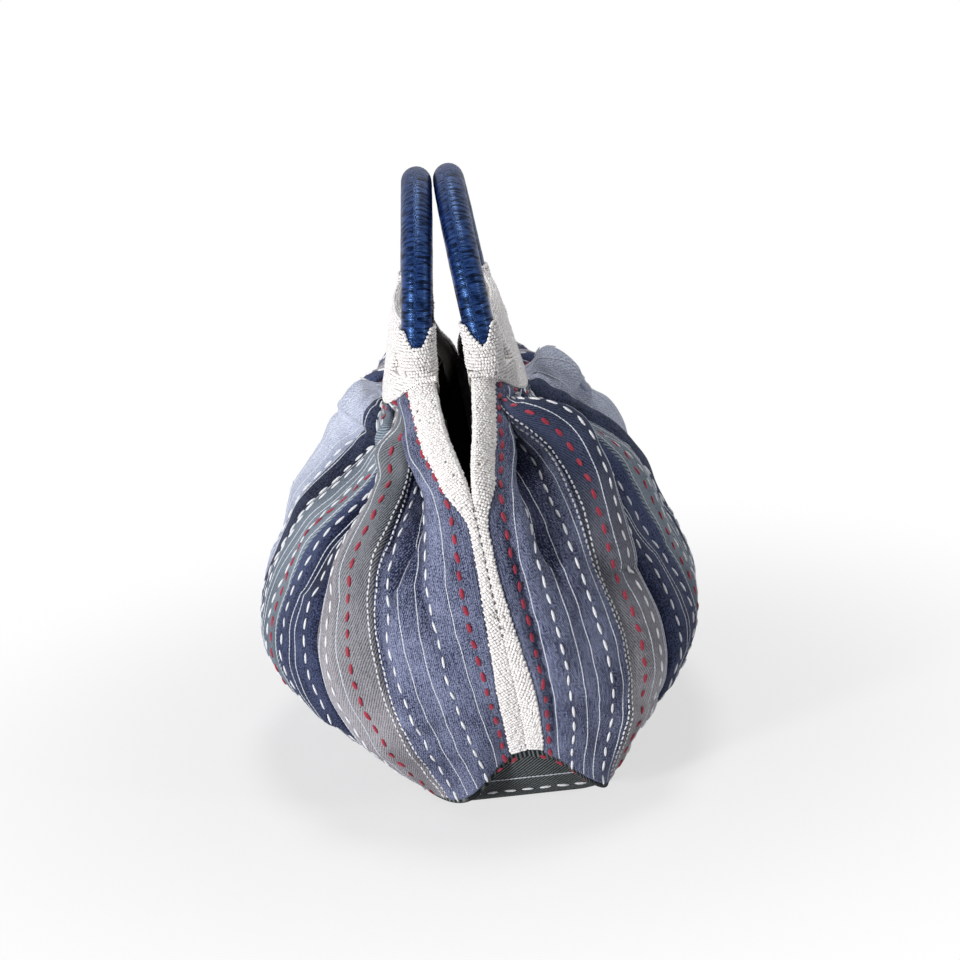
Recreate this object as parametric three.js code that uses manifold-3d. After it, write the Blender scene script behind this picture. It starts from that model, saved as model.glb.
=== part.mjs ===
// A soft patchwork bag: two full, pleated cloth sides gathered onto beaded yokes, a sewn-in base,
// beaded edgings that bind the open slits at both ends, a loose lining, and two arched handles
// wound with thread, whose tips turn in beaded sleeves on the yokes.
//
// Millimetres. X runs along the bag, Y across it, Z up. The origin is under the middle of the base.
import * as THREE from "three";
import { mergeVertices } from "three/addons/utils/BufferGeometryUtils.js";
import Module from "manifold-3d";

const wasm = await Module();
wasm.setup();

// Handles
const handleSpan = 152; // between the centres of a handle's two legs
const handleRise = 80; // from the tips' turning line up to the centre of the arch
const wrapRadius = 9; // outside of the thread winding
const coreRadius = 5;
const coreReach = 4; // how far the core runs past the winding's open ends, into its knobs
const hingeHeight = 256; // height of the line that a handle's tips turn about
const hingeDepth = 18.5; // that line's distance from the bag's middle plane
const handleGap = 0.6; // left between the two arches where they lean together

// Beaded sleeves round the handles' tips
const sleeveWall = 2.2;
const sleeveRise = 12; // above the turning line
const notchDepth = 13; // of the V that shows the winding at the tip
const notchHalfWidth = 10;
const notchRise = 1; // how far the V runs past the sleeve's top

// Beaded yokes
const yokeTopHeight = hingeHeight + sleeveRise;
const yokeTopDepth = 31; // outer face from the middle plane, at the middle of the yoke
const yokeMiddleDrop = 44; // from the turning line down to the yoke's foot, at its middle
const yokeBottomHeight = hingeHeight - yokeMiddleDrop;
const yokeBottomDepth = 43;
const yokeThickness = 5;
const tipBlend = 12; // length over which the yoke's wall thickens beside a handle's tip
const yokeCornerDrop = 20; // from the turning line down to the yoke's foot, at an end slit
const yokeCornerHeight = hingeHeight - yokeCornerDrop;
const slitTopDepth = 10; // half the open slit's width under the yokes
const yokeSeat = 0.2; // how far the foot is above the middle of the cloth, in cloth thicknesses

// Cloth sides
const clothThickness = 2.4;
const halfLength = 172; // of the bag at its belly
const halfDepth = 131;
const bellyHeight = 82;
const shoulderDepth = 74;
const shoulderDrop = 22; // from the yoke's foot down to the shoulder
const shoulderHeight = yokeBottomHeight - shoulderDrop;
const upperBellyDepth = 106;
const upperBellyHeight = 145;
const lowerBellyDepth = 110;
const lowerBellyHeight = 36;
const slitDrop = 46; // from the yoke's foot down to where the two sides meet
const joinHeight = yokeCornerHeight - slitDrop;
const joinLength = 165;
const bulgeShare = 0.38; // of the way from the join down to the base, where the bag is longest
const taperShare = 0.7; // of the same way, where the end has begun to draw in
const taperDraw = 0.25; // how much of the narrowing to the base is done there
const slitMiddleDepth = 9; // half the slit's width half way down it
const slitBow = 5; // how far the slit's edge bows upwards
const foldSharpness = 2.2; // 0 for round folds; higher gives flat walls between tight creases
const steepestFold = 1.5; // radians between a fold's wall and the even shape
const crestFade = 0.22; // share of the drop over which the pleats' crests rise below the yoke
const valleyFade = 0.12; // the valleys open sooner
const valleyDepth = 0.7; // how deep the valleys are, as a share of the crests' height
const frontSlack = 0.2; // how much flatter the front's shoulders hang than the back's
const backSlack = 0.06; // how much narrower the back is above and below its belly
const upperSlackReach = 40; // how far that reaches up and down from the upper belly
const lowerSlackHeight = 20;
const lowerSlackReach = 28;
const endSway = 20; // how far the bag's ends lie to the back of its middle plane, at the base
const lowEndSway = 13; // what is added to that towards the base
const clothDrop = 250; // from the yoke to the base seam, about
const easeStart = 0.6; // share of the drop where the cloth starts to narrow to the base
// The pleats between the two edgings, from the near end: widths of cloth, and how steeply each rises
// or falls, as a share of the steepest
const nearFolds = {
  front: [[14, 0.15], [34, -1], [40, 1], [42, -1], [41, 1]],
  back: [[14, 0.1], [22, -1.1], [53, 1], [46, -1], [30, 1]],
};
const middleFolds = [[38, -0.4], [12, -1], [14, 1], [13, -1], [33, 1]];
const farFolds = [[38, -1], [28, 1], [27, -1], [27, 1], [34, -1], [21, 1]];

// Patches from the near end (+X) to the far end, in millimetres of cloth
const patchWidths = {
  blue: 67,
  grey: 50,
  navy: 48,
  twill: 50,
  dark: 25,
  pale: 60,
  far_navy: 45,
  far_grey: 45,
  far_blue: 65,
};

// Beaded edgings
const edgingWidth = 14; // along the open slit
const bandHalfWidth = 10; // below it, where two edgings make one band
const edgingThickness = 4.6;
const narrowStart = 0.34; // share of the drop where it starts to narrow to the band
const narrowShare = 0.1; // share of the drop over which it narrows

const sum = (numbers) => numbers.reduce((total, n) => total + n, 0);
const clothWidth = sum(Object.values(patchWidths)) + 2 * bandHalfWidth; // one side laid flat

// Base
const baseHalfLength = 150;
const baseHalfWidth = 62;
const baseSeamHeight = 6;
const baseEndHeight = 38; // where the band ends
const baseFlatHalfLength = 122;
const baseFlatShare = 0.65; // of the base's width that lies flat
const baseThickness = 3;
const baseTipHalfWidth = 0.4; // of its pointed ends
const baseRidgePower = 1.2; // how late the middle of the base's ends turns up
const baseTurnPower = 1.5; // how late its long edges turn up

// Lining
const liningThickness = 1;
const liningClearance = 3;
const liningFloorInset = 0.14; // of the lining's base from the seams, as a share of the base
const liningTop = 0.02; // shares of the cloth's drop
const liningBottom = 0.94;
const liningReach = 0.985; // of the way to the slits' edges
const liningEase = 0.1; // share of the way over which its clearance opens
const liningFoldEase = 0.2; // share over which it comes in to clear the folds
const liningRowPower = 1.3; // gathers its rows to the top, where the folds open

const seamGap = 0.3; // between neighbouring pieces
const columnStep = 11; // widest column of cloth, in millimetres
const clothRows = 13;
const levelSteps = 160; // along a level line of the bag
const archSteps = 20; // along a handle

const sides = { front: -1, back: 1 };
const ends = { near: 1, far: -1 };

// How a solid is coloured and how it shines
const finish = (color, roughness = 0.9) => new THREE.MeshStandardMaterial({ color, roughness, metalness: 0 });
const beadWhite = finish(0xf1efec, 0.45);
const threadBlue = finish(0x1f3f86, 0.35);
const coreBrown = finish(0x8a6a45, 0.7);
const liningBlack = finish(0x1b1a1c, 0.95);
const patchFinish = {
  blue: finish(0x525f86),
  grey: finish(0x85868a),
  navy: finish(0x2a3150),
  twill: finish(0x5c6a7a),
  dark: finish(0x23283c),
  pale: finish(0x9aa3bd),
  far_navy: finish(0x2f3754),
  far_grey: finish(0x7c7d80),
  far_blue: finish(0x4c5a80),
};
const baseGrey = finish(0x43484a);

const bag = new THREE.Group();

function addMesh(parent, name, geometry, material) {
  const mesh = new THREE.Mesh(geometry, material);
  mesh.name = name;
  parent.add(mesh);
}

const mix = (a, b, share) => a + (b - a) * share;
const smooth = (x) => {
  const c = Math.min(1, Math.max(0, x));
  return c * c * (3 - 2 * c);
};

// The cloth is lofted through six stations, from its top edge on the yoke down to the base seam.
// Each has its near edge (edge) and its middle, and round tells a straight plan (0) from an oval (1).
const stations = [
  {
    edge: [handleSpan / 2 + wrapRadius, slitTopDepth, yokeCornerHeight],
    middle: [yokeBottomDepth, yokeBottomHeight],
    round: 0.5,
    bow: 0.4,
    lift: 1.6,
  },
  {
    edge: [
      mix(handleSpan / 2 + wrapRadius, joinLength, 0.5),
      slitMiddleDepth,
      mix(yokeCornerHeight, joinHeight, 0.5) + slitBow,
    ],
    middle: [shoulderDepth, shoulderHeight],
    round: 1,
    bow: 1,
    lift: 2,
  },
  {
    edge: [joinLength, seamGap / 2, joinHeight],
    middle: [upperBellyDepth, upperBellyHeight],
    round: 1,
    bow: 1,
    lift: 2,
  },
  {
    edge: [halfLength, seamGap / 2, mix(joinHeight, baseEndHeight, bulgeShare)],
    middle: [halfDepth, bellyHeight],
    round: 1,
    bow: 1,
    lift: 2,
  },
  {
    edge: [
      mix(halfLength, baseHalfLength, taperDraw),
      seamGap / 2,
      mix(joinHeight, baseEndHeight, taperShare),
    ],
    middle: [lowerBellyDepth, lowerBellyHeight],
    round: 1,
    bow: 0.8,
    lift: 3,
  },
  {
    edge: [baseHalfLength, seamGap / 2, baseEndHeight],
    middle: [baseHalfWidth, baseSeamHeight],
    round: 1,
    bow: 0.4,
    lift: 8,
  },
];

// A smooth curve through the stations' values, t from 0 at the top to 1 at the bottom.
function throughStations(values, t) {
  const last = values.length - 1;
  const k = Math.min(last - 1, Math.floor(t * last));
  const r = t * last - k;
  const a = k > 0 ? values[k - 1] : 2 * values[0] - values[1];
  const b = values[k];
  const c = values[k + 1];
  const d = k + 2 <= last ? values[k + 2] : 2 * values[last] - values[last - 1];
  return b + 0.5 * r * (c - a + r * (2 * a - 5 * b + 4 * c - d + r * (3 * (b - c) + d - a)));
}

// A point of the bag's even shape, without pleats: a runs from -1 at the far edge to 1 at the near edge.
function evenPoint(a, t) {
  const bow = Math.cos((a * Math.PI) / 2);
  const at = stations.map(({ edge, middle, round, bow: power, lift }) => [
    edge[0] * mix(a, Math.sin((a * Math.PI) / 2), round),
    mix(edge[1], middle[0], Math.max(0, bow) ** power),
    mix(middle[1], edge[2], Math.abs(a) ** lift),
  ]);
  return new THREE.Vector3(
    ...[0, 1, 2].map((axis) => throughStations(at.map((p) => p[axis]), t)),
  );
}

// One level line of the even shape, measured along its length from the near edge.
const levelCache = new Map();
function levelLine(t) {
  if (levelCache.has(t)) return levelCache.get(t);
  const places = [];
  let length = 0;
  let before = null;
  for (let i = 0; i <= levelSteps; i++) {
    const a = 1 - (2 * i) / levelSteps;
    const p = evenPoint(a, t);
    if (before) length += p.distanceTo(before);
    places.push({ a, length });
    before = p;
  }
  const line = { length, places };
  levelCache.set(t, line);
  return line;
}

function placeAlong({ length, places }, share) {
  const wanted = Math.min(1, Math.max(0, share)) * length;
  let i = 1;
  while (i < places.length - 1 && places[i].length < wanted) i++;
  const before = places[i - 1];
  const after = places[i];
  const rest = (wanted - before.length) / (after.length - before.length);
  return mix(before.a, after.a, rest);
}

function evenNormal(a, t) {
  const h = 1e-3;
  const alongCloth = evenPoint(Math.min(1, a + h), t).sub(evenPoint(Math.max(-1, a - h), t));
  const downCloth = evenPoint(a, Math.min(1, t + h)).sub(evenPoint(a, Math.max(0, t - h)));
  return alongCloth.cross(downCloth).normalize();
}

// How the cloth of one side is tilted at f millimetres from the near edge: above 0 where it rises.
function foldSlope(folds, f) {
  const scale = (clothWidth - 2 * edgingWidth) / sum(folds.map(([width]) => width));
  let start = edgingWidth;
  for (const [width, slope] of folds) {
    const end = start + width * scale;
    if (f > start && f < end) {
      const wave = Math.tanh(foldSharpness * Math.sin((Math.PI * (f - start)) / (end - start)));
      return (slope * wave) / Math.tanh(foldSharpness);
    }
    start = end;
  }
  return 0;
}

const foldStep = 1; // millimetres of cloth between the places where the folds are summed
const foldPlaces = Math.round(clothWidth / foldStep);
const slopes = {};
for (const [sideName, side] of Object.entries(sides)) {
  const folds = [...nearFolds[sideName], ...middleFolds, ...farFolds];
  const middleOf = (i) => ((i + 0.5) * clothWidth) / foldPlaces;
  slopes[side] = Array.from({ length: foldPlaces }, (_, i) => foldSlope(folds, middleOf(i)));
}

// The folds of one level line: how far along the line, and how far out of it, each place of cloth lies.
// They are as steep as it takes for the cloth's width to fit on the line.
const foldCache = { [sides.front]: new Map(), [sides.back]: new Map() };
function foldsAt(side, t) {
  if (foldCache[side].has(t)) return foldCache[side].get(t);
  const { length } = levelLine(t);
  const width = mix(clothWidth, length, smooth((t - easeStart) / (1 - easeStart)));
  const meanCosine = (steep) => sum(slopes[side].map((slope) => Math.cos(steep * slope))) / foldPlaces;
  let low = 0;
  let high = steepestFold;
  for (let i = 0; i < 24; i++) {
    const middle = (low + high) / 2;
    if (meanCosine(middle) > length / width) low = middle;
    else high = middle;
  }
  const steep = (low + high) / 2;
  const flat = 2 * edgingWidth;
  const step = width / foldPlaces;
  const folded = meanCosine(steep) * width - flat;
  const squeeze = (length - flat) / folded;
  const along = [0];
  const rise = [0];
  for (const [i, slope] of slopes[side].entries()) {
    const f = ((i + 0.5) * clothWidth) / foldPlaces;
    const inEdging = f < edgingWidth || f > clothWidth - edgingWidth;
    along.push(along[i] + step * Math.cos(steep * slope) * (inEdging ? 1 : squeeze));
    rise.push(rise[i] + step * Math.sin(steep * slope));
  }
  const crest = smooth(t / crestFade);
  const valley = valleyDepth * smooth(t / valleyFade);
  const out = rise.map((height, i) => {
    const level = height - (rise[foldPlaces] * i) / foldPlaces;
    return level * (level < 0 ? valley : crest);
  });
  const folds = { along, out };
  foldCache[side].set(t, folds);
  return folds;
}

// The cloth of one side: f millimetres from its near edge, t down it, on its middle surface.
function clothPoint(side, f, t) {
  const { along, out } = foldsAt(side, t);
  const place = (Math.min(clothWidth, Math.max(0, f)) / clothWidth) * foldPlaces;
  const i = Math.min(foldPlaces - 1, Math.floor(place));
  const at = (values) => mix(values[i], values[i + 1], place - i);
  const a = placeAlong(levelLine(t), at(along) / along[foldPlaces]);
  return evenPoint(a, t).addScaledVector(evenNormal(a, t), at(out));
}

function clothNormal(side, f, t) {
  const h = 0.4;
  const before = clothPoint(side, Math.max(0, f - h), t);
  const alongCloth = before.sub(clothPoint(side, Math.min(clothWidth, f + h), t));
  const dt = 2e-3;
  const below = clothPoint(side, f, Math.min(1, t + dt));
  const downCloth = below.sub(clothPoint(side, f, Math.max(0, t - dt)));
  return alongCloth.cross(downCloth).normalize();
}

// The soft body isn't quite even: the front's shoulders hang flatter than the back's, the back is a
// little narrower above and below its belly, and the ends sway to the back, the lower the more.
function swayed(p, side) {
  const down = Math.min(1, Math.max(0, (yokeCornerHeight - p.z) / yokeCornerHeight));
  const atShoulder =
    smooth((p.z - upperBellyHeight) / (shoulderHeight - upperBellyHeight)) *
    smooth((yokeBottomHeight - p.z) / (yokeBottomHeight - shoulderHeight));
  const narrowed =
    Math.exp(-(((p.z - upperBellyHeight) / upperSlackReach) ** 2)) +
    Math.exp(-(((p.z - lowerSlackHeight) / lowerSlackReach) ** 2));
  const slack = p.y * side < 0 ? frontSlack * atShoulder : backSlack * narrowed;
  const sway = (endSway * down + lowEndSway * down ** 3) * (p.x / halfLength) ** 2;
  return new THREE.Vector3(p.x, p.y * side * (1 - slack) + sway, p.z);
}

// A closed slab between two skins, each a function of (column, row). Columns run from the near end to
// the far end and rows run down, and side is -1 for the front of the bag, which mirrors the back.
function slab(columns, rows, outer, inner, side) {
  const positions = [];
  const index = [];
  for (const skin of [outer, inner])
    for (let i = 0; i <= columns; i++)
      for (let j = 0; j <= rows; j++) {
        positions.push(...swayed(skin(i, j), side).toArray());
      }
  const at = (skin, i, j) => (skin * (columns + 1) + i) * (rows + 1) + j;
  const quad = (a, b, c, d) => (side > 0 ? index.push(a, b, c, a, c, d) : index.push(a, c, b, a, d, c));
  for (let i = 0; i < columns; i++)
    for (let j = 0; j < rows; j++) {
      quad(at(0, i, j), at(0, i, j + 1), at(0, i + 1, j + 1), at(0, i + 1, j));
      quad(at(1, i, j), at(1, i + 1, j), at(1, i + 1, j + 1), at(1, i, j + 1));
    }
  for (let i = 0; i < columns; i++) {
    quad(at(0, i, 0), at(0, i + 1, 0), at(1, i + 1, 0), at(1, i, 0));
    quad(at(0, i, rows), at(1, i, rows), at(1, i + 1, rows), at(0, i + 1, rows));
  }
  for (let j = 0; j < rows; j++) {
    quad(at(0, 0, j), at(1, 0, j), at(1, 0, j + 1), at(0, 0, j + 1));
    quad(at(0, columns, j), at(0, columns, j + 1), at(1, columns, j + 1), at(1, columns, j));
  }
  const geometry = new THREE.BufferGeometry();
  geometry.setAttribute("position", new THREE.Float32BufferAttribute(positions, 3));
  geometry.setIndex(index);
  return geometry;
}

const edgingWidthAt = (t) => mix(edgingWidth, bandHalfWidth, smooth((t - narrowStart) / narrowShare));

// The cloth between two distances from the near edge, as a slab of one patch or edging.
function clothStrip(side, from, to, thickness, top, bottom) {
  const columns = Math.max(2, Math.ceil((to(0.5) - from(0.5)) / columnStep));
  const skin = (lift) => (i, j) => {
    const t = mix(top, bottom, j / clothRows);
    const f = mix(from(t), to(t), i / columns);
    const p = clothPoint(side, f, t).addScaledVector(clothNormal(side, f, t), lift);
    p.y = Math.max(p.y, seamGap / 2);
    return p;
  };
  return slab(columns, clothRows, skin(thickness / 2), skin(-thickness / 2), side);
}

// The cloth stops short of its top line and of the base seam.
const setback = (1.5 * seamGap) / clothDrop;
const patchTop = setback;
const patchBottom = 1 - setback;

function patches() {
  for (const [sideName, side] of Object.entries(sides)) {
    let start = bandHalfWidth;
    const patchEntries = Object.entries(patchWidths);
    patchEntries.forEach(([name, width], i) => {
      const first = i === 0;
      const last = i === patchEntries.length - 1;
      const begin = start;
      const end = start + width;
      const from = (t) => (first ? edgingWidthAt(t) : begin) + seamGap / 2;
      const to = (t) => (last ? clothWidth - edgingWidthAt(t) : end) - seamGap / 2;
      const solid = clothStrip(side, from, to, clothThickness, patchTop, patchBottom);
      addMesh(bag, `${sideName}_patch_${name}`, solid, patchFinish[name]);
      start = end;
    });
  }
}

function edgings() {
  for (const [sideName, side] of Object.entries(sides))
    for (const [endName, end] of Object.entries(ends)) {
      const inner = (t) => edgingWidthAt(t) - seamGap / 2;
      const from = (t) => (end > 0 ? 0 : clothWidth - inner(t));
      const to = (t) => (end > 0 ? inner(t) : clothWidth);
      const solid = clothStrip(side, from, to, edgingThickness, patchTop, patchBottom);
      addMesh(bag, `${sideName}_${endName}_edging`, solid, beadWhite);
    }
}

// A place on the base, from its near left corner (0, 0) to its far right one (1, 1), that much inside
// the side seams and above the underside. The base lies flat, and its ends are drawn up to the bands.
function basePoint(shareAlong, shareAcross, inset, lift) {
  const a = 1 - 2 * shareAlong;
  const across = 1 - 2 * shareAcross;
  const seam = evenPoint(a, 1);
  const halfWidth = Math.max(baseTipHalfWidth, seam.y - inset);
  const reach = Math.max(0, Math.abs(seam.x) - baseFlatHalfLength) / (baseHalfLength - baseFlatHalfLength);
  const ridge = (baseEndHeight - 2 * inset) * reach ** baseRidgePower;
  const pastFlat = Math.max(0, Math.abs(across) - baseFlatShare);
  const turnUp = (pastFlat / (1 - baseFlatShare)) ** baseTurnPower;
  const height = mix(ridge, Math.max(0, seam.z - 2 * inset), turnUp);
  return new THREE.Vector3(seam.x * (1 - inset / baseHalfLength), halfWidth * across, height + lift);
}

function basePanel() {
  const columns = 24;
  const rows = 6;
  const inset = seamGap + clothThickness / 2;
  const spot = (lift) => (i, j) => basePoint(i / columns, j / rows, inset, lift);
  addMesh(bag, "base_panel", slab(columns, rows, spot(0), spot(baseThickness), 1), baseGrey);
}

// How far the deepest fold dips in round about t.
function deepestFold(t) {
  const around = [t - 0.05, t, t + 0.05].map((place) => Math.min(1, Math.max(0, place)));
  const outs = (side) => around.flatMap((place) => foldsAt(side, place).out);
  return -Math.min(...Object.values(sides).flatMap(outs));
}

// The lining hangs inside the folds, in two sides that meet its base.
function lining() {
  const rows = 10;
  const columns = 22;
  for (const [sideName, side] of Object.entries(sides)) {
    const skin = (lift) => (i, j) => {
      const t = mix(liningTop, liningBottom, (j / rows) ** liningRowPower);
      const a = liningReach * (1 - (2 * i) / columns);
      const fromEdge = 1 - Math.abs(a);
      const clearance = mix(seamGap, liningClearance, smooth(fromEdge / liningEase));
      const foldRoom = deepestFold(t) * smooth(fromEdge / liningFoldEase);
      const inset = edgingThickness / 2 + clearance + foldRoom;
      const p = evenPoint(a, t).addScaledVector(evenNormal(a, t), -inset - lift);
      p.y = Math.max(p.y, liningClearance - lift);
      return p;
    };
    const solid = slab(columns, rows, skin(0), skin(liningThickness), side);
    addMesh(bag, `lining_${sideName}`, solid, liningBlack);
  }
  const floorColumns = 16;
  const floorRows = 6;
  const inset = seamGap + clothThickness / 2;
  const spot = (lift) => (i, j) => {
    const along = mix(liningFloorInset, 1 - liningFloorInset, i / floorColumns);
    const across = mix(liningFloorInset, 1 - liningFloorInset, j / floorRows);
    return basePoint(along, across, inset, baseThickness + liningClearance + lift);
  };
  const floor = slab(floorColumns, floorRows, spot(0), spot(liningThickness), 1);
  addMesh(bag, "lining_base", floor, liningBlack);
}

function solidOf(geometry) {
  const bare = new THREE.BufferGeometry();
  bare.setAttribute("position", geometry.getAttribute("position"));
  if (geometry.index) bare.setIndex(geometry.index);
  const merged = mergeVertices(bare, 1e-4);
  return new wasm.Manifold(
    new wasm.Mesh({
      numProp: 3,
      vertProperties: new Float32Array(merged.attributes.position.array),
      triVerts: new Uint32Array(merged.index.array),
    }),
  );
}

function geometryOf(solid) {
  const { vertProperties, triVerts } = solid.getMesh();
  const geometry = new THREE.BufferGeometry();
  geometry.setAttribute("position", new THREE.BufferAttribute(vertProperties, 3));
  geometry.setIndex(new THREE.BufferAttribute(triVerts, 1));
  return geometry;
}

const boxSolid = (x0, x1, y0, y1, z0, z1) =>
  solidOf(
    new THREE.BoxGeometry(x1 - x0, y1 - y0, z1 - z0).translate((x0 + x1) / 2, (y0 + y1) / 2, (z0 + z1) / 2),
  );

const sleeveRadius = wrapRadius + seamGap + sleeveWall;
const socketRadius = sleeveRadius + seamGap;
const yokeHalfLength = handleSpan / 2 + sleeveRadius;

// How far a handle's leg leans in, along the bag, over the height of its sleeve.
const footDrift = handleSpan / 2 - Math.sqrt((handleSpan / 2) ** 2 - sleeveRise ** 2);

// The room that a handle's tip and sleeve sweep as the handle swings down, kept clear of the yoke.
function tipRoom(end) {
  const inside = handleSpan / 2 - socketRadius - footDrift;
  const outside = handleSpan / 2 + socketRadius;
  const [x0, x1] = end > 0 ? [inside, outside] : [-outside, -inside];
  const far = yokeTopHeight - yokeBottomHeight;
  const bore = new THREE.CylinderGeometry(socketRadius, socketRadius, x1 - x0, 24)
    .rotateZ(Math.PI / 2)
    .translate((x0 + x1) / 2, hingeDepth, hingeHeight);
  const above = boxSolid(x0, x1, -far, 2 * far, hingeHeight, hingeHeight + far);
  const beside = boxSolid(x0, x1, hingeDepth, 2 * far, hingeHeight - socketRadius, hingeHeight + far);
  return solidOf(bore).add(above).add(beside);
}

// A yoke stands on the cloth's top line, a thin wall between the handle's legs and a block under each
// tip, hollowed where the tip's sleeve turns.
function yokes() {
  const columns = 28;
  const rows = 3;
  const wallEnd = handleSpan / 2 - socketRadius - footDrift;
  for (const [sideName, side] of Object.entries(sides)) {
    const spot = (i, j, isOuter) => {
      const a = Math.sin((Math.PI / 2) * (1 - (2 * i) / columns));
      const seam = evenPoint(a, 0);
      const x = (seam.x * yokeHalfLength) / (handleSpan / 2 + wrapRadius);
      const atTip = smooth((Math.abs(x) - wallEnd + tipBlend) / tipBlend);
      const seat = seamGap + mix(yokeSeat * clothThickness, edgingThickness, Math.abs(a) ** 4);
      const down = j / rows;
      const lean = (yokeBottomDepth - yokeTopDepth) * (1 - down) * (1 - atTip);
      const outer = seam.y - lean;
      const inner = mix(outer - yokeThickness, slitTopDepth - yokeThickness / 2, atTip);
      return new THREE.Vector3(x, isOuter ? outer : inner, mix(yokeTopHeight, seam.z + seat, down));
    };
    const blank = slab(columns, rows, (i, j) => spot(i, j, true), (i, j) => spot(i, j, false), 1);
    let solid = solidOf(blank);
    for (const end of Object.values(ends)) solid = solid.subtract(tipRoom(end));
    const largest = solid.decompose().sort((p, q) => q.volume() - p.volume())[0];
    const geometry = geometryOf(side > 0 ? largest : largest.mirror([0, 1, 0]));
    addMesh(bag, `${sideName}_yoke`, geometry, beadWhite);
  }
}

// A handle's centre line: an arch between its two tips, in its own frame, whose origin is midway
// between the tips. It runs that far past them.
function archPath(past) {
  const radius = handleSpan / 2;
  const straight = handleRise - radius;
  const arc = new THREE.ArcCurve(0, straight, radius, 0, Math.PI);
  const points = arc.getSpacedPoints(archSteps).map((p) => new THREE.Vector3(p.x, 0, p.y));
  points.unshift(new THREE.Vector3(radius, 0, -past));
  points.push(new THREE.Vector3(-radius, 0, -past));
  return new THREE.CatmullRomCurve3(points);
}

function tube(radius, past, sidesRound) {
  const section = new THREE.Shape();
  section.absarc(0, 0, radius, 0, 2 * Math.PI);
  return new THREE.ExtrudeGeometry(section, {
    steps: archSteps,
    curveSegments: sidesRound / 2,
    extrudePath: archPath(past),
    bevelEnabled: false,
  });
}

const tipReach = 2 * sleeveRadius; // past everything at a tip

// A round-ended tip about the turning line, of the winding or of a sleeve.
const tipBall = (radius, end) =>
  solidOf(new THREE.SphereGeometry(radius, 14, 8).translate(end * (handleSpan / 2), 0, 0));

// The core ends in a round knob that closes the winding's end.
function tipKnob(end) {
  const x = end * (handleSpan / 2);
  const below = boxSolid(x - tipReach, x + tipReach, -tipReach, tipReach, -tipReach, -seamGap);
  return tipBall(wrapRadius, end).intersect(below);
}

// A sleeve fits the arch's foot, closes under its tip, and is cut to a V on the side at the bag's end.
function sleeveSolid(end) {
  const x = end * (handleSpan / 2);
  const foot = (radius, past) => solidOf(tube(radius, past, 16)).add(tipBall(radius, end));
  const keep = boxSolid(x - tipReach, x + tipReach, -tipReach, tipReach, -tipReach, sleeveRise);
  const notch = new THREE.Shape([
    new THREE.Vector2(0, sleeveRise - notchDepth),
    new THREE.Vector2(notchHalfWidth, sleeveRise + notchRise),
    new THREE.Vector2(-notchHalfWidth, sleeveRise + notchRise),
  ]);
  const wedge = new THREE.ExtrudeGeometry(notch, { depth: tipReach, bevelEnabled: false })
    .rotateX(Math.PI / 2)
    .rotateZ((end * Math.PI) / 2)
    .translate(x, 0, 0);
  return foot(sleeveRadius, 0)
    .intersect(keep)
    .subtract(foot(wrapRadius + seamGap, sleeveWall / 2))
    .subtract(solidOf(wedge));
}

const handleLean = Math.asin((hingeDepth - wrapRadius - handleGap / 2) / handleRise);

function handles() {
  for (const [sideName, side] of Object.entries(sides)) {
    const handle = new THREE.Group();
    handle.position.set(0, side * hingeDepth, hingeHeight);
    handle.rotation.x = side * handleLean;
    bag.add(handle);
    const bore = solidOf(tube(coreRadius + seamGap, coreReach, 8));
    const winding = solidOf(tube(wrapRadius, 0, 16)).subtract(bore);
    addMesh(handle, `${sideName}_handle_winding`, geometryOf(winding), threadBlue);
    let core = solidOf(tube(coreRadius, coreReach, 8));
    for (const end of Object.values(ends)) core = core.add(tipKnob(end));
    addMesh(handle, `${sideName}_handle_core`, geometryOf(core), coreBrown);
    for (const [endName, end] of Object.entries(ends))
      addMesh(handle, `${sideName}_${endName}_sleeve`, geometryOf(sleeveSolid(end)), beadWhite);
  }
}

patches();
edgings();
basePanel();
lining();
yokes();
handles();

export default bag;
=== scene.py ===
# The looks of a soft patchwork bag: pleated denim and twill with running stitches, beaded yokes,
# edgings and sleeves, handles wound with satin thread, a dark lining and a twill base.
import math

import bpy
import numpy as np
from mathutils import Matrix, Vector
from mathutils.bvhtree import BVHTree


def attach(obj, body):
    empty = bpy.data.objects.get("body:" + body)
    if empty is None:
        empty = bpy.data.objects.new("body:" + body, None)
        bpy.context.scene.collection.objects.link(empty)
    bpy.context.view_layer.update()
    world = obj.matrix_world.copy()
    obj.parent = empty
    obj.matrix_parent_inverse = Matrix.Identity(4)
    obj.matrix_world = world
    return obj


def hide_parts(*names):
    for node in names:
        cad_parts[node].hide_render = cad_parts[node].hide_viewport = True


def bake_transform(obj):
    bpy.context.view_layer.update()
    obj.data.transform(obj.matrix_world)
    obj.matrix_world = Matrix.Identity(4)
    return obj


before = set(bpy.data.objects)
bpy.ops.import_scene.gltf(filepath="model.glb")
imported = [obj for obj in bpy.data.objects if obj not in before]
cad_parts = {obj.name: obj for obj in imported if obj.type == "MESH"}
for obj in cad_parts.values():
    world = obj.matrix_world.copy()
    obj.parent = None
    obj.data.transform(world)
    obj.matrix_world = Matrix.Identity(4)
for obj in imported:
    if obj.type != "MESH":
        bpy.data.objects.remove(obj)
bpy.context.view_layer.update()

MM = 0.001  # shapes are worked out in millimetres and made in metres

# Handles
HANDLE_SPAN = 152
HANDLE_RISE = 80
WRAP_RADIUS = 9
BORE_RADIUS = 5.3
HINGE_HEIGHT = 256
HINGE_DEPTH = 18.5
HANDLE_GAP = 0.6
WRAP_PITCH = 0.85  # from one groove of the winding to the next
WRAP_GROOVE = 0.16  # depth of a groove
LEAN = math.asin((HINGE_DEPTH - WRAP_RADIUS - HANDLE_GAP / 2) / HANDLE_RISE)

# Sleeves
SLEEVE_RADIUS = 11.5
SLEEVE_RISE = 12
NOTCH_DEPTH = 13
NOTCH_HALF_WIDTH = 10

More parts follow.
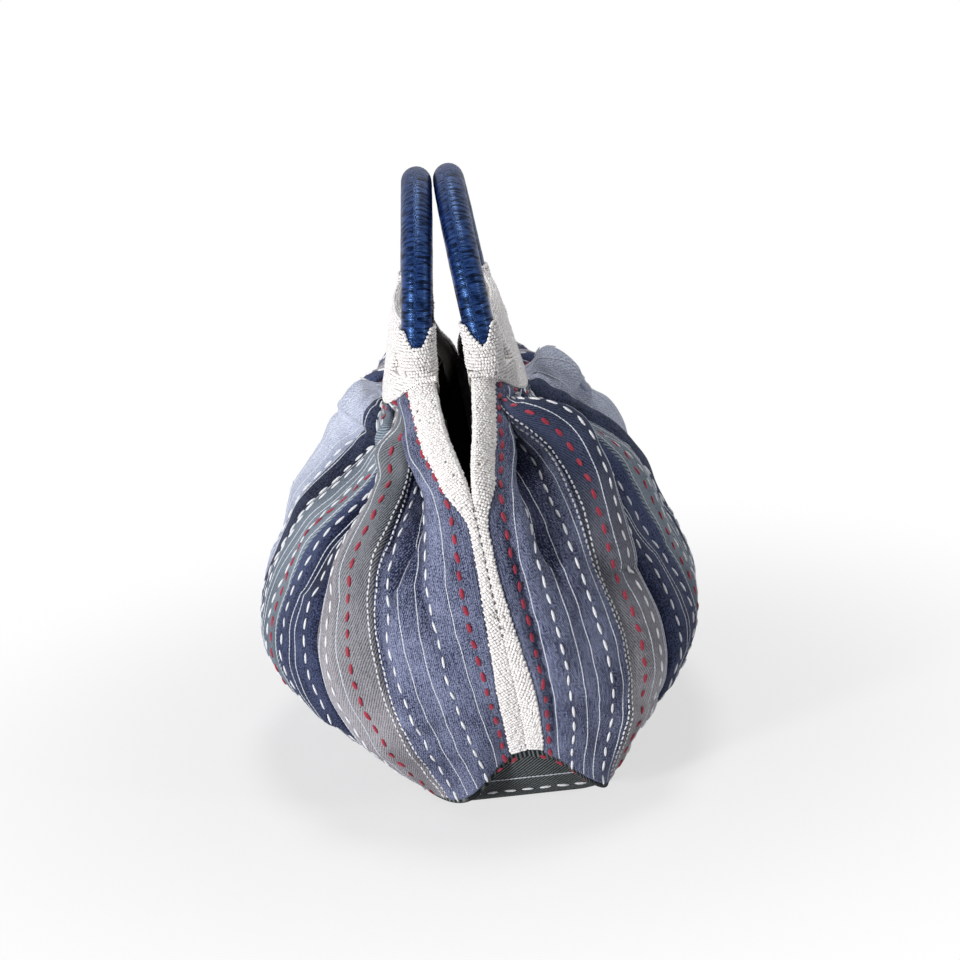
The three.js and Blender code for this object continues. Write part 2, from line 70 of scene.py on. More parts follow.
# Yokes
YOKE_TOP = HINGE_HEIGHT + SLEEVE_RISE
YOKE_TOP_DEPTH = 31
YOKE_FOOT = HINGE_HEIGHT - 44  # at the middle of the bag
YOKE_FOOT_DEPTH = 43
YOKE_CORNER = HINGE_HEIGHT - 20  # at an end slit
YOKE_WALL = 5
TIP_BLEND = 12
SLIT_TOP_DEPTH = 10
SLIT_MIDDLE_DEPTH = 6.8
LEG_ROOM = HANDLE_SPAN / 2 - SLEEVE_RADIUS - 1.25  # how far the wall between the legs reaches
SEAM_REACH = HANDLE_SPAN / 2 + WRAP_RADIUS  # how far the yoke's seam with the cloth reaches

# Cloth
CLOTH_THICKNESS = 2.4
HALF_LENGTH = 172
HALF_DEPTH = 131
BELLY = 82
SHOULDER = YOKE_FOOT - 22
SHOULDER_DEPTH = 74
UPPER_BELLY = 145
UPPER_BELLY_DEPTH = 106
LOWER_BELLY = 36
LOWER_BELLY_DEPTH = 110
JOIN = YOKE_CORNER - 46
JOIN_LENGTH = 165
FOLD_SHARPNESS = 2.2
STEEPEST_FOLD = 1.5
CREST_FADE = 0.22  # share of the drop over which the near crests rise below the yoke
FAR_CREST_FADE = 0.55
FAR_START = 300  # where the far crests begin, by their distance from the near edge
VALLEY_FADE = 0.06  # the valleys open sooner than the crests
VALLEY_DEPTH = 0.7  # how deep they are, as a share of the crests' height
VALLEY_TUCK = 0.4  # share of their depth that they have right under the yoke
PLEAT_CLOSING = 0.9  # how much steeper than the others the drawn pleats are at the yoke
FRONT_SLACK = 0.2
BACK_SLACK = 0.06
END_SWAY = 20
LOW_END_SWAY = 13
EASE_START = 0.6
# Each stretch of a side's pleats from its near edging to its far one: its width of cloth, and how
# steeply it rises or falls, as a share of the steepest.
MIDDLE_FOLDS = ((38, -0.4), (12, -1), (14, 1), (13, -1), (33, 1))
FAR_FOLDS = ((38, -1), (28, 1), (27, -1), (27, 1), (34, -1), (21, 1))
FOLDS = {
    "front": ((14, 0.15), (34, -1), (40, 1), (42, -1), (41, 1), *MIDDLE_FOLDS, *FAR_FOLDS),
    "back": ((14, 0.1), (22, -1.1), (53, 1), (46, -1), (30, 1), *MIDDLE_FOLDS, *FAR_FOLDS),
}
# Pleats that are drawn together at the yoke: from where to where across the side, and the share of
# the drop over which each opens.
DRAWN_PLEATS = {
    "front": ((28, 102, 0.26), (102, 185, 0.34)),
    "back": ((26, 104, 0.26), (104, 178, 0.3)),
}
# The strips of cloth from the near slit to the far one: how wide each is, and its cloth.
PATCHES = {
    "blue": (67, "blue_denim"),
    "grey": (50, "grey_twill"),
    "navy": (48, "navy_denim"),
    "twill": (50, "blue_twill"),
    "dark": (25, "dark_denim"),
    "pale": (60, "pale_chambray"),
    "far_navy": (45, "navy_denim"),
    "far_grey": (45, "grey_twill"),
    "far_blue": (65, "blue_denim"),
}
EDGING_WIDTH = 14
SLIT_EDGINGS = {"front": 16.5, "back": 13}  # widths beside the slits
BAND_NECK = 6  # half width of the joined band just below the slit
BAND_HALF_WIDTH = 10
BAND_FOOT = 11.5  # its half width as the beads cover it near the base
EDGING_THICKNESS = 4.6
NARROW_START = 0.33
NARROW_SHARE = 0.12
CLOTH_WIDTH = sum(width for width, _ in PATCHES.values()) + 2 * BAND_HALF_WIDTH
CLOTH_DROP = 250  # length of cloth from the yoke to the base seam
SEAM_GAP = 0.3

# Base and lining
BASE_HALF_LENGTH = 150
BASE_HALF_WIDTH = 62
BASE_SEAM = 6
BASE_END = 38
BASE_FLAT_HALF_LENGTH = 122
BASE_FLAT_SHARE = 0.65
BASE_THICKNESS = 3
BASE_TUCK = 0.9  # how far its edge reaches under the sides' hems
BASE_LIP = 4.6  # how far its ends rise inside, behind the joined edgings
BASE_RIDGE_POWER = 1.2
BASE_TURN_POWER = 1.5
LINING_THICKNESS = 1
LINING_CLEARANCE = 4.5
LINING_REACH = 0.985
FLOOR_CLEARANCE = 3

# Beads
BEAD_LENGTH = 1.95  # along its hole
BEAD_WIDTH = 2.12  # round it
BEAD_COLUMN = 1.62  # from one bead to the next in a row
BEAD_ROW = 1.84  # from one row to the next
MISSING_BEADS = 0.004  # share of them
BEAD_STRAY = 0.13  # how far they stray from their places
BEAD_WOBBLE = 0.22  # and how far they lean

# Stitches
STITCH_PITCH = 9.8
STITCH_LENGTH = 6.8
STITCH_WIDTH = 1.6
RED_STITCH_LENGTH = 6.2
RED_STITCH_WIDTH = 2.5
FINE_PITCH = 2.5
FINE_LENGTH = 2.5
FINE_WIDTH = 0.8
LADDER_PITCH = 3.4
LADDER_LENGTH = 2.3
LADDER_WIDTH = 1.15
LINE_INSET = 0.012  # how far from the yoke and the base the lines end, as a share of the cloth

SIDES = {"front": -1, "back": 1}
ENDS = {"near": 1, "far": -1}


def mix(a, b, share):
    """a where the share is 0 and b where it is 1."""
    return a + (b - a) * share


def smooth(x):
    """Eases from 0 to 1 as x does."""
    c = np.clip(x, 0, 1)
    return c * c * (3 - 2 * c)


# The bag's even shape

# The cloth's six stations from the yoke down to the base: the edge at the end slit, the middle of the
# bag, how far it is rounded towards its ends, and the powers of its plan and of its rise.
STATIONS = (
    ((SEAM_REACH, SLIT_TOP_DEPTH, YOKE_CORNER), (YOKE_FOOT_DEPTH, YOKE_FOOT), 0.5, 0.4, 1.6),
    ((125, SLIT_MIDDLE_DEPTH, 218), (SHOULDER_DEPTH, SHOULDER), 1, 1, 2),
    ((JOIN_LENGTH, SEAM_GAP / 2, JOIN), (UPPER_BELLY_DEPTH, UPPER_BELLY), 1, 1, 2),
    ((HALF_LENGTH, SEAM_GAP / 2, mix(JOIN, BASE_END, 0.38)), (HALF_DEPTH, BELLY), 1, 1, 2),
    ((166.5, SEAM_GAP / 2, mix(JOIN, BASE_END, 0.7)), (LOWER_BELLY_DEPTH, LOWER_BELLY), 1, 0.8, 3),
    ((BASE_HALF_LENGTH, SEAM_GAP / 2, BASE_END), (BASE_HALF_WIDTH, BASE_SEAM), 1, 0.4, 8),
)


def through_stations(values, t):
    """A smooth curve through the stations' values, t from 0 at the top to 1 at the bottom."""
    last = len(values) - 1
    k = np.clip(np.floor(t * last), 0, last - 1).astype(int)
    r = (t * last - k)[..., None]
    ends = (2 * values[:1] - values[1:2], 2 * values[-1:] - values[-2:-1])
    padded = np.concatenate([ends[0], values, ends[1]])

    def pick(shift):
        index = np.broadcast_to((k + shift)[None, ..., None], (1, *values.shape[1:]))
        return np.take_along_axis(padded, index, 0)[0]

    a, b, c, d = (pick(shift) for shift in range(4))
    return b + 0.5 * r * (c - a + r * (2 * a - 5 * b + 4 * c - d + r * (3 * (b - c) + d - a)))


def even_points(a, t):
    """Points of the even shape, without pleats: a runs from -1 at the far edge to 1 at the near one."""
    a, t = np.broadcast_arrays(np.asarray(a, float), np.asarray(t, float))
    turn = a * math.pi / 2
    values = []
    for edge, middle, rounding, bow, lift in STATIONS:
        x = edge[0] * mix(a, np.sin(turn), rounding)
        y = mix(edge[1], middle[0], np.maximum(0, np.cos(turn)) ** bow)
        z = mix(middle[1], edge[2], np.abs(a) ** lift)
        values.append(np.stack([x, y, z], -1))
    return through_stations(np.array(values), t)


def even_normals(a, t):
    """The even shape's outward directions."""
    a, t = np.broadcast_arrays(np.asarray(a, float), np.asarray(t, float))
    h = 1e-3
    along = even_points(np.minimum(1, a + h), t) - even_points(np.maximum(-1, a - h), t)
    down = even_points(a, np.minimum(1, t + h)) - even_points(a, np.maximum(0, t - h))
    return unit(np.cross(along, down))


def unit(v):
    """The same directions with a length of 1."""
    return v / np.maximum(np.linalg.norm(v, axis=-1, keepdims=True), 1e-12)


def joined(rows):
    """Rows of arrays, such as (points, facing, along), put together to one of each."""
    return [np.concatenate(values) for values in zip(*rows)]


def run_of(line):
    """How far along a line each of its points lies."""
    return np.concatenate([[0], np.cumsum(np.linalg.norm(np.diff(line, axis=0), axis=1))])


def picked(values, run, places):
    """The values, which are known at the distances run, at other places."""
    return np.stack([np.interp(places, run, values[:, k]) for k in range(3)], 1)


# The pleats

PLACES = np.arange(CLOTH_WIDTH) + 0.5  # across a side, one for each millimetre
IN_EDGING = (PLACES < EDGING_WIDTH) | (PLACES > CLOTH_WIDTH - EDGING_WIDTH)


def running_total(steps):
    """The sums along each row, from 0 on."""
    return np.concatenate([np.zeros((len(steps), 1)), np.cumsum(steps, 1)], 1)


def fold_slopes(stretches):
    """How the cloth is tilted at each place across it: above 0 where it rises, below where it falls."""
    slopes = np.zeros(CLOTH_WIDTH)
    scale = (CLOTH_WIDTH - 2 * EDGING_WIDTH) / sum(width for width, _ in stretches)
    start = EDGING_WIDTH
    for width, slope in stretches:
        end = start + width * scale
        inside = (PLACES > start) & (PLACES < end)
        wave = np.tanh(FOLD_SHARPNESS * np.sin(math.pi * (PLACES[inside] - start) / (end - start)))
        slopes[inside] = slope * wave / math.tanh(FOLD_SHARPNESS)
        start = end
    return slopes


class Folds:
    """A side's pleats on the level lines at the rows t, each as steep as its cloth has to be to fit."""

    def __init__(self, stretches, pleats, t):
        slopes = fold_slopes(stretches) * np.ones((len(t), 1))
        for start, end, opening in pleats:
            closed = PLEAT_CLOSING * (1 - smooth(t / opening))[:, None]
            slopes *= 1 + closed * ((PLACES > start) & (PLACES < end))
        self.t = t
        turns = np.linspace(1, -1, 401)
        self.a = np.sign(turns) * (1 - (1 - np.abs(turns)) ** 2.4)  # closer together at the edges
        line = even_points(self.a[None, :], t[:, None])
        steps = np.linalg.norm(np.diff(line, axis=1), axis=2)
        self.length = running_total(steps)
        total = self.length[:, -1]
        width = mix(CLOTH_WIDTH, total, smooth((t - EASE_START) / (1 - EASE_START)))

        def tilts(steep):
            return np.clip(steep[:, None] * slopes, -STEEPEST_FOLD, STEEPEST_FOLD)

        # How steep each row has to be for its cloth to fit, found by halving
        low = np.zeros(len(t))
        high = np.full(len(t), STEEPEST_FOLD)
        for _ in range(24):
            middle = (low + high) / 2
            under = np.cos(tilts(middle)).mean(1) > total / width
            low = np.where(under, middle, low)
            high = np.where(under, high, middle)
        tilt = tilts((low + high) / 2)
        flat = 2 * EDGING_WIDTH
        squeeze = (total - flat) / (np.cos(tilt).mean(1) * width - flat)
        step = (width / CLOTH_WIDTH)[:, None]
        self.along = running_total(step * np.cos(tilt) * np.where(IN_EDGING, 1, squeeze[:, None]))
        self.out = running_total(step * np.sin(tilt))
        self.out -= self.out[:, -1:] * np.linspace(0, 1, CLOTH_WIDTH + 1)

    def at(self, f):
        """For the distances f from the near edge: a on the even shape, and how far out of it."""
        places = np.arange(CLOTH_WIDTH + 1)
        fade = mix(CREST_FADE, FAR_CREST_FADE, smooth((f - FAR_START) / 30))
        crest = smooth(self.t[:, None] / fade)
        valley = VALLEY_DEPTH * mix(VALLEY_TUCK, 1, smooth(self.t / VALLEY_FADE))
        a = np.empty((len(self.t), len(f)))
        out = np.empty_like(a)
        for i in range(len(self.t)):
            share = np.interp(f, places, self.along[i]) / self.along[i, -1]
            a[i] = np.interp(share * self.length[i, -1], self.length[i], self.a)
            raw = np.interp(f, places, self.out[i])
            out[i] = np.where(raw < 0, raw * valley[i], raw * crest[i])
        return a, out


def soft_noise(u, v, seed):
    """Smooth seeded noise from about -1 to 1 on a lattice of unit cells."""
    random = np.random.default_rng(seed)
    size = 64
    lattice = random.uniform(-1, 1, (size, size))
    i, j = np.floor(u).astype(int), np.floor(v).astype(int)
    x, y = smooth(u - i), smooth(v - j)
    corner = lambda di, dj: lattice[(i + di) % size, (j + dj) % size]
    top = mix(corner(0, 0), corner(1, 0), x)
    bottom = mix(corner(0, 1), corner(1, 1), x)
    return mix(top, bottom, y)


def swayed(p, side):
    """The front's shoulders hang flatter than the back's, the back is a little narrower above and below
    its belly, and the ends sway to the back, the lower the more."""
    x, y, z = p[..., 0], p[..., 1] * side, p[..., 2]
    down = np.clip((YOKE_CORNER - z) / YOKE_CORNER, 0, 1)
    below = smooth((z - UPPER_BELLY) / (SHOULDER - UPPER_BELLY))
    at_shoulder = below * smooth((YOKE_FOOT - z) / (YOKE_FOOT - SHOULDER))
    narrowed = np.exp(-(((z - UPPER_BELLY) / 40) ** 2)) + np.exp(-(((z - 20) / 28) ** 2))
    slack = np.where(y < 0, FRONT_SLACK * at_shoulder, BACK_SLACK * narrowed)
    sway = (END_SWAY * down + LOW_END_SWAY * down**3) * (x / HALF_LENGTH) ** 2
    return np.stack([x, y * (1 - slack) + sway, z], -1)


ROWS_T = np.linspace(0, 1, 251)
COLUMNS_F = np.linspace(0, CLOTH_WIDTH, 2 * CLOTH_WIDTH + 1)

# Stitched lines, by their distance from a side's near edge
FAR_WHITE = (232, 262, 292, 322, 352, 372, 404, 434, 458)
FAR_FINE = (228, 243, 255, 270, 282, 300, 336, 362, 380, 412, 424, 443)
WHITE_LINES = {
    "front": (37, 67, 105, 137, 165, 198, 219, *FAR_WHITE),
    "back": (33, 62, 100, 137, 165, 198, 219, *FAR_WHITE),
}
RED_LINES = {"front": (17, 92, 187, 310, 388, 459), "back": (16, 88, 187, 310, 388, 459)}
FINE_LINES = {
    "front": (25, 47, 57, 98, 113, 116.5, 124, 148, 154, 177, 206, 212, *FAR_FINE),
    "back": (23, 43, 52, 70, 94, 106, 109, 116, 124, 148, 154, 177, 206, 212, *FAR_FINE),
}
LADDER_LINES = {"front": (75.5, 79.5), "back": (74.5, 78.5)}  # the seam's two rows of small stitches

# How far from the edgings, the yoke and the base the cloth hangs loose enough to lean and to crease
LOOSE_EDGE = 18
LOOSE_TOP = 8
LOOSE_FOOT = 25

# Narrow creases of each side: the distance from its near edge at the top and at the foot, the rows
# where it starts and ends, its depth and its half width.
CREASES = {
    "front": (
        (72, 74, 0.12, 0.80, 5, 5.5),
        (44, 70, 0.22, 0.60, 6, 5),
        (48, 34, 0.40, 0.70, 3, 5),
        (30, 26, 0.04, 0.22, 2, 5),
        (122, 124, 0.20, 0.86, 6, 7),
    ),
    "back": (
        (31, 34, 0.05, 0.40, 5, 3.6),
        (18, 20, 0.34, 1.04, 6, 4.5),
        (66, 60, 0.10, 0.40, 3, 5),
        (30, 50, 0.22, 0.56, 4, 4.5),
        (122, 124, 0.20, 0.86, 6, 7),
        (80, 78, 0.40, 0.80, 2.5, 5),
        (200, 204, 0.06, 0.34, 3, 5),
    ),
}

# Where a pleat leans over the valley beside it: the middle of the leaning cloth in distance and row,
# its half width in each, how far it slides towards the near slit, and how far it lifts.
LEANS = {
    "front": (
        (88, 0.14, 30, 0.15, 20, 7),
        (190, 0.26, 36, 0.18, 36, 8),
        (148, 0.24, 14, 0.16, 0, -8),
        (50, 0.18, 13, 0.17, 0, -12),
    ),
    "back": (
        (86, 0.11, 30, 0.13, 27, 12),
        (42, 0.17, 12, 0.17, 0, -14),
        (190, 0.16, 36, 0.15, 22, 6),
    ),
}
LEAN_WAY = np.array([0.45, -0.9, 0])  # along the bag, towards its middle, and up

# Where a patch is puffed out by the fullness behind it, or sinks in: the middle in distance and row,
# the half width in each, and the height.
PUFFS = {
    "front": (
        (105, 0.62, 18, 0.18, 7),
        (306, 0.075, 50, 0.06, 11),
        (288, 0.27, 26, 0.05, 7),
        (186, 0.81, 26, 0.07, -8),
    ),
    "back": (
        (100, 0.60, 18, 0.18, 6),
        (300, 0.08, 48, 0.09, 17),
        (288, 0.20, 24, 0.06, -11),
        (225, 0.37, 40, 0.12, 12),
        (104, 0.85, 24, 0.08, -8),
    ),
}


def stitch_dimples(name, f, v):
    """The running stitches draw the cloth in along their lines, and it puffs up between them."""
    depth = np.zeros_like(f)
    for place in WHITE_LINES[name] + RED_LINES[name]:
        near = np.exp(-(((f - place) / 1.7) ** 2))
        depth -= 0.4 * near * (0.6 + 0.4 * np.cos(2 * math.pi * v / STITCH_PITCH))
    for place in FINE_LINES[name]:
        depth -= 0.15 * np.exp(-(((f - place) / 1.2) ** 2))
    return depth


def hill(f, t, middle, row, half, tall):
    """1 at that middle and row, and next to 0 from twice the half widths on."""
    return np.exp(-(((f - middle) / half) ** 2) - ((t - row) / tall) ** 2)


def creases(name, f, t):
    """How far the creases and the puffs take the cloth out."""
    depth = np.zeros_like(f)
    for top_f, foot_f, start, end, deep, half in CREASES[name]:
        share = np.clip((t - start) / (end - start), 0, 1)
        middle = mix(top_f, foot_f, share)
        strength = smooth(share / 0.25) * smooth((1 - share) / 0.3)
        depth -= deep * strength * np.exp(-np.abs((f - middle) / half) ** 1.5)
    for *place, height in PUFFS[name]:
        depth += height * hill(f, t, *place)
    return depth


def leaning(name, f, t):
    """How far the pleats slide towards the near slit, and how far they lift."""
    slide, lift = np.zeros_like(f), np.zeros_like(f)
    for *place, far, high in LEANS[name]:
        strength = hill(f, t, *place)
        slide += far * strength
        lift += high * strength
    return slide, lift


def wrinkles(f, v, seed):
    """Small creases and slack in the cloth, in millimetres out of it."""
    long_waves = 1.5 * soft_noise(f / 17 + 0.012 * v, v / 55, seed)
    short_waves = 0.7 * soft_noise(f / 9 + 0.05 * v, v / 24, seed + 1)
    cross = 0.8 * soft_noise(f / 30, v / 11 + f / 40, seed + 2)
    near_yoke = 1 + 0.8 * smooth(1 - v / 90)
    return (long_waves + short_waves) * near_yoke + cross


class Side:
    """One long side of the bag: its cloth's middle surface on a fine grid of rows t and columns f."""

    def __init__(self, name, seed):
        self.sign = SIDES[name]
        a, out = Folds(FOLDS[name], DRAWN_PLEATS[name], ROWS_T).at(COLUMNS_F)
        even = even_points(a, ROWS_T[:, None])
        normal = even_normals(a, ROWS_T[:, None])
        f, v = np.meshgrid(COLUMNS_F, ROWS_T * CLOTH_DROP)
        t = v / CLOTH_DROP
        edge = np.minimum(f, CLOTH_WIDTH - f)
        loose = smooth((edge - BAND_HALF_WIDTH) / LOOSE_EDGE) * smooth(v / LOOSE_TOP)
        loose *= smooth((CLOTH_DROP - v) / LOOSE_FOOT)
        slide, raised = leaning(name, f, t)
        moved = even + normal * (out + raised * loose)[..., None] + LEAN_WAY * (slide * loose)[..., None]
        bare = swayed(moved, self.sign)
        dents = creases(name, f, t)
        self.fold_out = out + raised + dents
        lift = (wrinkles(f, v, seed) + dents) * loose
        lift += stitch_dimples(name, f, v) * smooth((edge - EDGING_WIDTH) / 3)
        self.points = bare + self.facing(bare) * lift[..., None]
        self.normals = self.facing(self.points)

    def facing(self, points):
        """The outward directions at a grid of points of the cloth."""
        along = np.gradient(points, axis=1)
        down = np.gradient(points, axis=0)
        return unit(np.cross(down, along)) * self.sign

    def sample(self, grid, f, t):
        """A grid's values at f and t, between its points."""
        x = np.clip(np.asarray(f, float), 0, CLOTH_WIDTH) / CLOTH_WIDTH * (len(COLUMNS_F) - 1)
        y = np.clip(np.asarray(t, float), 0, 1) * (len(ROWS_T) - 1)
        x, y = np.broadcast_arrays(x, y)
        i = np.minimum(np.floor(x).astype(int), len(COLUMNS_F) - 2)
        j = np.minimum(np.floor(y).astype(int), len(ROWS_T) - 2)
        u, w = (x - i)[..., None], (y - j)[..., None]
        top = mix(grid[j, i], grid[j, i + 1], u)
        bottom = mix(grid[j + 1, i], grid[j + 1, i + 1], u)
        return mix(top, bottom, w)

    def normal(self, f, t):
        return unit(self.sample(self.normals, f, t))

    def at(self, f, t, lift=0.0):
        """Points of the cloth, f from its near edge and t down it, lifted out of its middle."""
        p = self.sample(self.points, f, t)
        return p + self.normal(f, t) * np.asarray(lift, float)[..., None]


sides = {name: Side(name, 10 * i + 3) for i, name in enumerate(SIDES)}


# Meshes

def finished(obj, material, body, *nodes, slot=None):
    """Gives a piece its material and smooth shading, and its body where one is named, else bakes its place
    into its points, and hides the model's parts of the nodes that it stands for.
    """
    if material:
        obj.data.materials.clear()
        obj.data.materials.append(material)
    obj.data.polygons.foreach_set("use_smooth", np.ones(len(obj.data.polygons), bool))
    if isinstance(body, str):
        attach(obj, body)
    else:
        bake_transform(obj)
    if nodes:
        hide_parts(*nodes)
    return obj


def new_object(name, data):
    """An object in the scene, made of a mesh, a lamp or a camera."""
    obj = bpy.data.objects.new(name, data)
    bpy.context.scene.collection.objects.link(obj)
    return obj


def mesh_piece(name, points, faces, uv=None, crease=None, edges=()):
    """A mesh object from points in millimetres, with an optional UV for each point."""
    mesh = bpy.data.meshes.new(name)
    mesh.from_pydata((np.asarray(points) * MM).tolist(), edges, faces)
    if uv is not None:
        corners = np.empty(len(mesh.loops), int)
        mesh.loops.foreach_get("vertex_index", corners)
        layer = mesh.uv_layers.new(name="UVMap")
        layer.data.foreach_set("uv", np.asarray(uv, float)[corners].ravel() * MM)
    if crease is not None:
        attribute = mesh.attributes.new("fold", "FLOAT", "POINT")
        attribute.data.foreach_set("value", np.asarray(crease, np.float32))
    return new_object(name, mesh)


def grid_faces(rows, columns, offset=0, flip=False, wrap=False):
    """Quads of a grid of points, row by row. wrap joins the last column to the first."""
    faces = []
    across = columns if wrap else columns - 1
    for i in range(rows - 1):
        for j in range(across):
            k = (j + 1) % columns
            quad = [offset + i * columns + j, offset + (i + 1) * columns + j]
            quad += [offset + (i + 1) * columns + k, offset + i * columns + k]
            faces.append(quad[::-1] if flip else quad)
    return faces


def slab(name, outer, inner, flip=False, uv=None, crease=None):
    """A closed sheet between two skins, each rows x columns x 3."""
    rows, columns = outer.shape[:2]
    points = np.concatenate([outer.reshape(-1, 3), inner.reshape(-1, 3)])
    second = rows * columns
    faces = grid_faces(rows, columns, 0, flip) + grid_faces(rows, columns, second, not flip)
    ring = list(range(columns))
    ring += [i * columns + columns - 1 for i in range(1, rows)]
    ring += [(rows - 1) * columns + j for j in range(columns - 2, -1, -1)]
    ring += [i * columns for i in range(rows - 2, 0, -1)]
    for p, q in zip(ring, ring[1:] + ring[:1]):
        side = [p, q, second + q, second + p]
        faces.append(side[::-1] if flip else side)
    uv = None if uv is None else np.concatenate([uv.reshape(-1, 2)] * 2)
    crease = None if crease is None else np.concatenate([crease.ravel()] * 2)
    return mesh_piece(name, points, faces, uv, crease)


def capped_tube(name, rings, flip):
    """A closed body from rings of points, one after another."""
    count, across = len(rings), len(rings[0])
    first, last = list(range(across)), list(range((count - 1) * across, count * across))
    faces = grid_faces(count, across, 0, flip, True)
    faces += [first, last[::-1]] if flip else [first[::-1], last]
    return mesh_piece(name, np.concatenate(rings), faces)


# Materials

WAVE = math.pi / 10  # the wave texture's own period, in its coordinates
WALE_TURN = math.radians(32)  # how a twill's wales are slanted
BLOTCH = 0.25  # how much the wide blotches of a cloth count, beside its grain
WEAR_AND_SHADE = 0.6  # how much paler the crests of the pleats are than their valleys: partly wear, partly painted shade in the valleys


class Tree:
    """A node tree, with short calls to add and join nodes."""

    def __init__(self, tree):
        self.tree = tree

    def add(self, kind, inputs=None, **settings):
        node = self.tree.nodes.new(kind)
        for key, value in settings.items():
            setattr(node, key, value)
        for key, value in (inputs or {}).items():
            self.put(node.inputs[key], value)
        return node

    def put(self, socket, value):
        if isinstance(value, bpy.types.NodeSocket):
            self.tree.links.new(value, socket)
        else:
            socket.default_value = value

    def math(self, operation, a, b):
        return self.add("ShaderNodeMath", {0: a, 1: b}, operation=operation).outputs[0]


class Material(Tree):
    """A new material. The sockets of its shader are given by their names, with _ for a space."""

    def __init__(self, name, **sockets):
        self.material = bpy.data.materials.new(name)
        self.material.use_nodes = True
        super().__init__(self.material.node_tree)
        self.shader = self.tree.nodes["Principled BSDF"]
        for socket, value in sockets.items():
            self.shader.inputs[socket.replace("_", " ")].default_value = value

    def coords(self, source, scale, turn=0.0):
        """Coordinates in millimetres times scale, from the UV map or the object."""
        inputs = {"Vector": self.add("ShaderNodeTexCoord").outputs[source]}
        inputs |= {"Rotation": (0, 0, turn), "Scale": tuple(s / MM for s in scale)}
        return self.add("ShaderNodeMapping", inputs).outputs["Vector"]

    def noise(self, source, scale, detail, roughness=0.5):
        inputs = {"Vector": self.coords(source, scale), "Scale": 1.0}
        inputs |= {"Detail": detail, "Roughness": roughness}
        return self.add("ShaderNodeTexNoise", inputs).outputs["Fac"]

    def spread(self, value, low, high, new_low=0.0, new_high=1.0, **settings):
        """The value, spread so that low and high become the new ones, and held between them."""
        inputs = {"Value": value, "From Min": low, "From Max": high, "To Min": new_low, "To Max": new_high}
        return self.add("ShaderNodeMapRange", inputs, **settings).outputs["Result"]

    def weighted(self, *parts):
        """The sum of the values, each times its weight."""
        total = None
        for value, weight in parts:
            part = self.math("MULTIPLY", value, weight)
            total = part if total is None else self.math("ADD", total, part)
        return total

    def blend(self, fac, a, b):
        """Colour a where fac is 0 and colour b where it is 1."""
        return self.add("ShaderNodeMix", {"Factor": fac, 6: a, 7: b}, data_type="RGBA").outputs[2]

    def fold(self):
        """What a piece says of each place: 1 on a crest, 0 in a valley. The materials darken the low places
        with it, as painted shade.
        """
        return self.add("ShaderNodeAttribute", attribute_name="fold").outputs["Fac"]

    def finish(self, color, height=None, rise=0.0):
        """Gives the shader its colour, and a relief that rises so many millimetres with the height."""
        self.put(self.shader.inputs["Base Color"], color)
        if height is not None:
            inputs = {"Height": height, "Distance": rise * MM, "Strength": 1.0}
            self.put(self.shader.inputs["Normal"], self.add("ShaderNodeBump", inputs).outputs["Normal"])
        return self.material


def linear(red, green, blue):
    """A colour given as on a screen, 0 to 255, as the shader wants it."""
    parts = (x / 255 for x in (red, green, blue))
    return tuple(x / 12.92 if x <= 0.04045 else ((x + 0.055) / 1.055) ** 2.4 for x in parts) + (1.0,)


def woven(name, dark, light, grain=1.0, wale=0.0, wale_pitch=1.3, stripe=None):
    """Cotton cloth of dark and light threads: flecks, slubs, twill wales, blotches, and crests paler than the
    valleys, partly from wear and partly painted shade.
    A stripe is (from, to, dark, light, wale): a band of another weave between those places across, which
    fades out towards the base. The back's stripe, near black below the yoke, is also painted shade of the
    deep fold there."""
    n = Material(name, Roughness=0.9, Sheen_Weight=0.06, Sheen_Roughness=0.5, Specular_IOR_Level=0.1)
    fine = n.spread(n.noise("UV", (1.25, 1.1, 1), 1.0, 0.6), 0.36, 0.64)
    coarse = n.spread(n.noise("UV", (0.6, 0.5, 1), 2.0, 0.7), 0.38, 0.62)
    slubs = n.spread(n.noise("UV", (1.4, 0.1, 1), 1.0), 0.36, 0.64)
    blotches = n.spread(n.noise("UV", (0.05, 0.03, 1), 2.0), 0.35, 0.65)
    slanted = n.coords("UV", (WAVE / wale_pitch, WAVE / wale_pitch, 1), WALE_TURN)
    wave = {"Vector": slanted, "Scale": 1.0, "Distortion": 1.0, "Detail": 1.0}
    wales = n.add("ShaderNodeTexWave", wave, wave_profile="SIN", bands_direction="X").outputs["Fac"]
    threads = n.weighted((fine, 0.55), (coarse, 0.2), (slubs, 0.25))
    dark, light, shown_wale = linear(*dark), linear(*light), wale
    if stripe:
        start, end, stripe_dark, stripe_light, stripe_wale = stripe
        place = n.add("ShaderNodeSeparateXYZ", {"Vector": n.coords("UV", (1, 1, 1))}).outputs
        above_base = n.spread(place["Y"], 0.3 * CLOTH_DROP, 0.8 * CLOTH_DROP, 1, 0)
        past_start = n.math("GREATER_THAN", place["X"], start)
        inside = n.math("MULTIPLY", past_start, n.math("LESS_THAN", place["X"], end))
        inside = n.math("MULTIPLY", inside, above_base)
        shown_wale = n.math("ADD", n.math("MULTIPLY", inside, stripe_wale - wale), wale)
        dark = n.blend(inside, dark, linear(*stripe_dark))
        light = n.blend(inside, light, linear(*stripe_light))
    # Paler crests than valleys: partly wear, partly painted shade in the valleys.
    tone = n.weighted((threads, grain), (blotches, BLOTCH), (n.fold(), WEAR_AND_SHADE), (wales, shown_wale))
    top = grain + BLOTCH + WEAR_AND_SHADE + wale
    color = n.blend(n.spread(tone, 0.36 * top, 0.78 * top), dark, light)
    return n.finish(color, n.weighted((wales, shown_wale), (threads, 0.7)), 0.3)


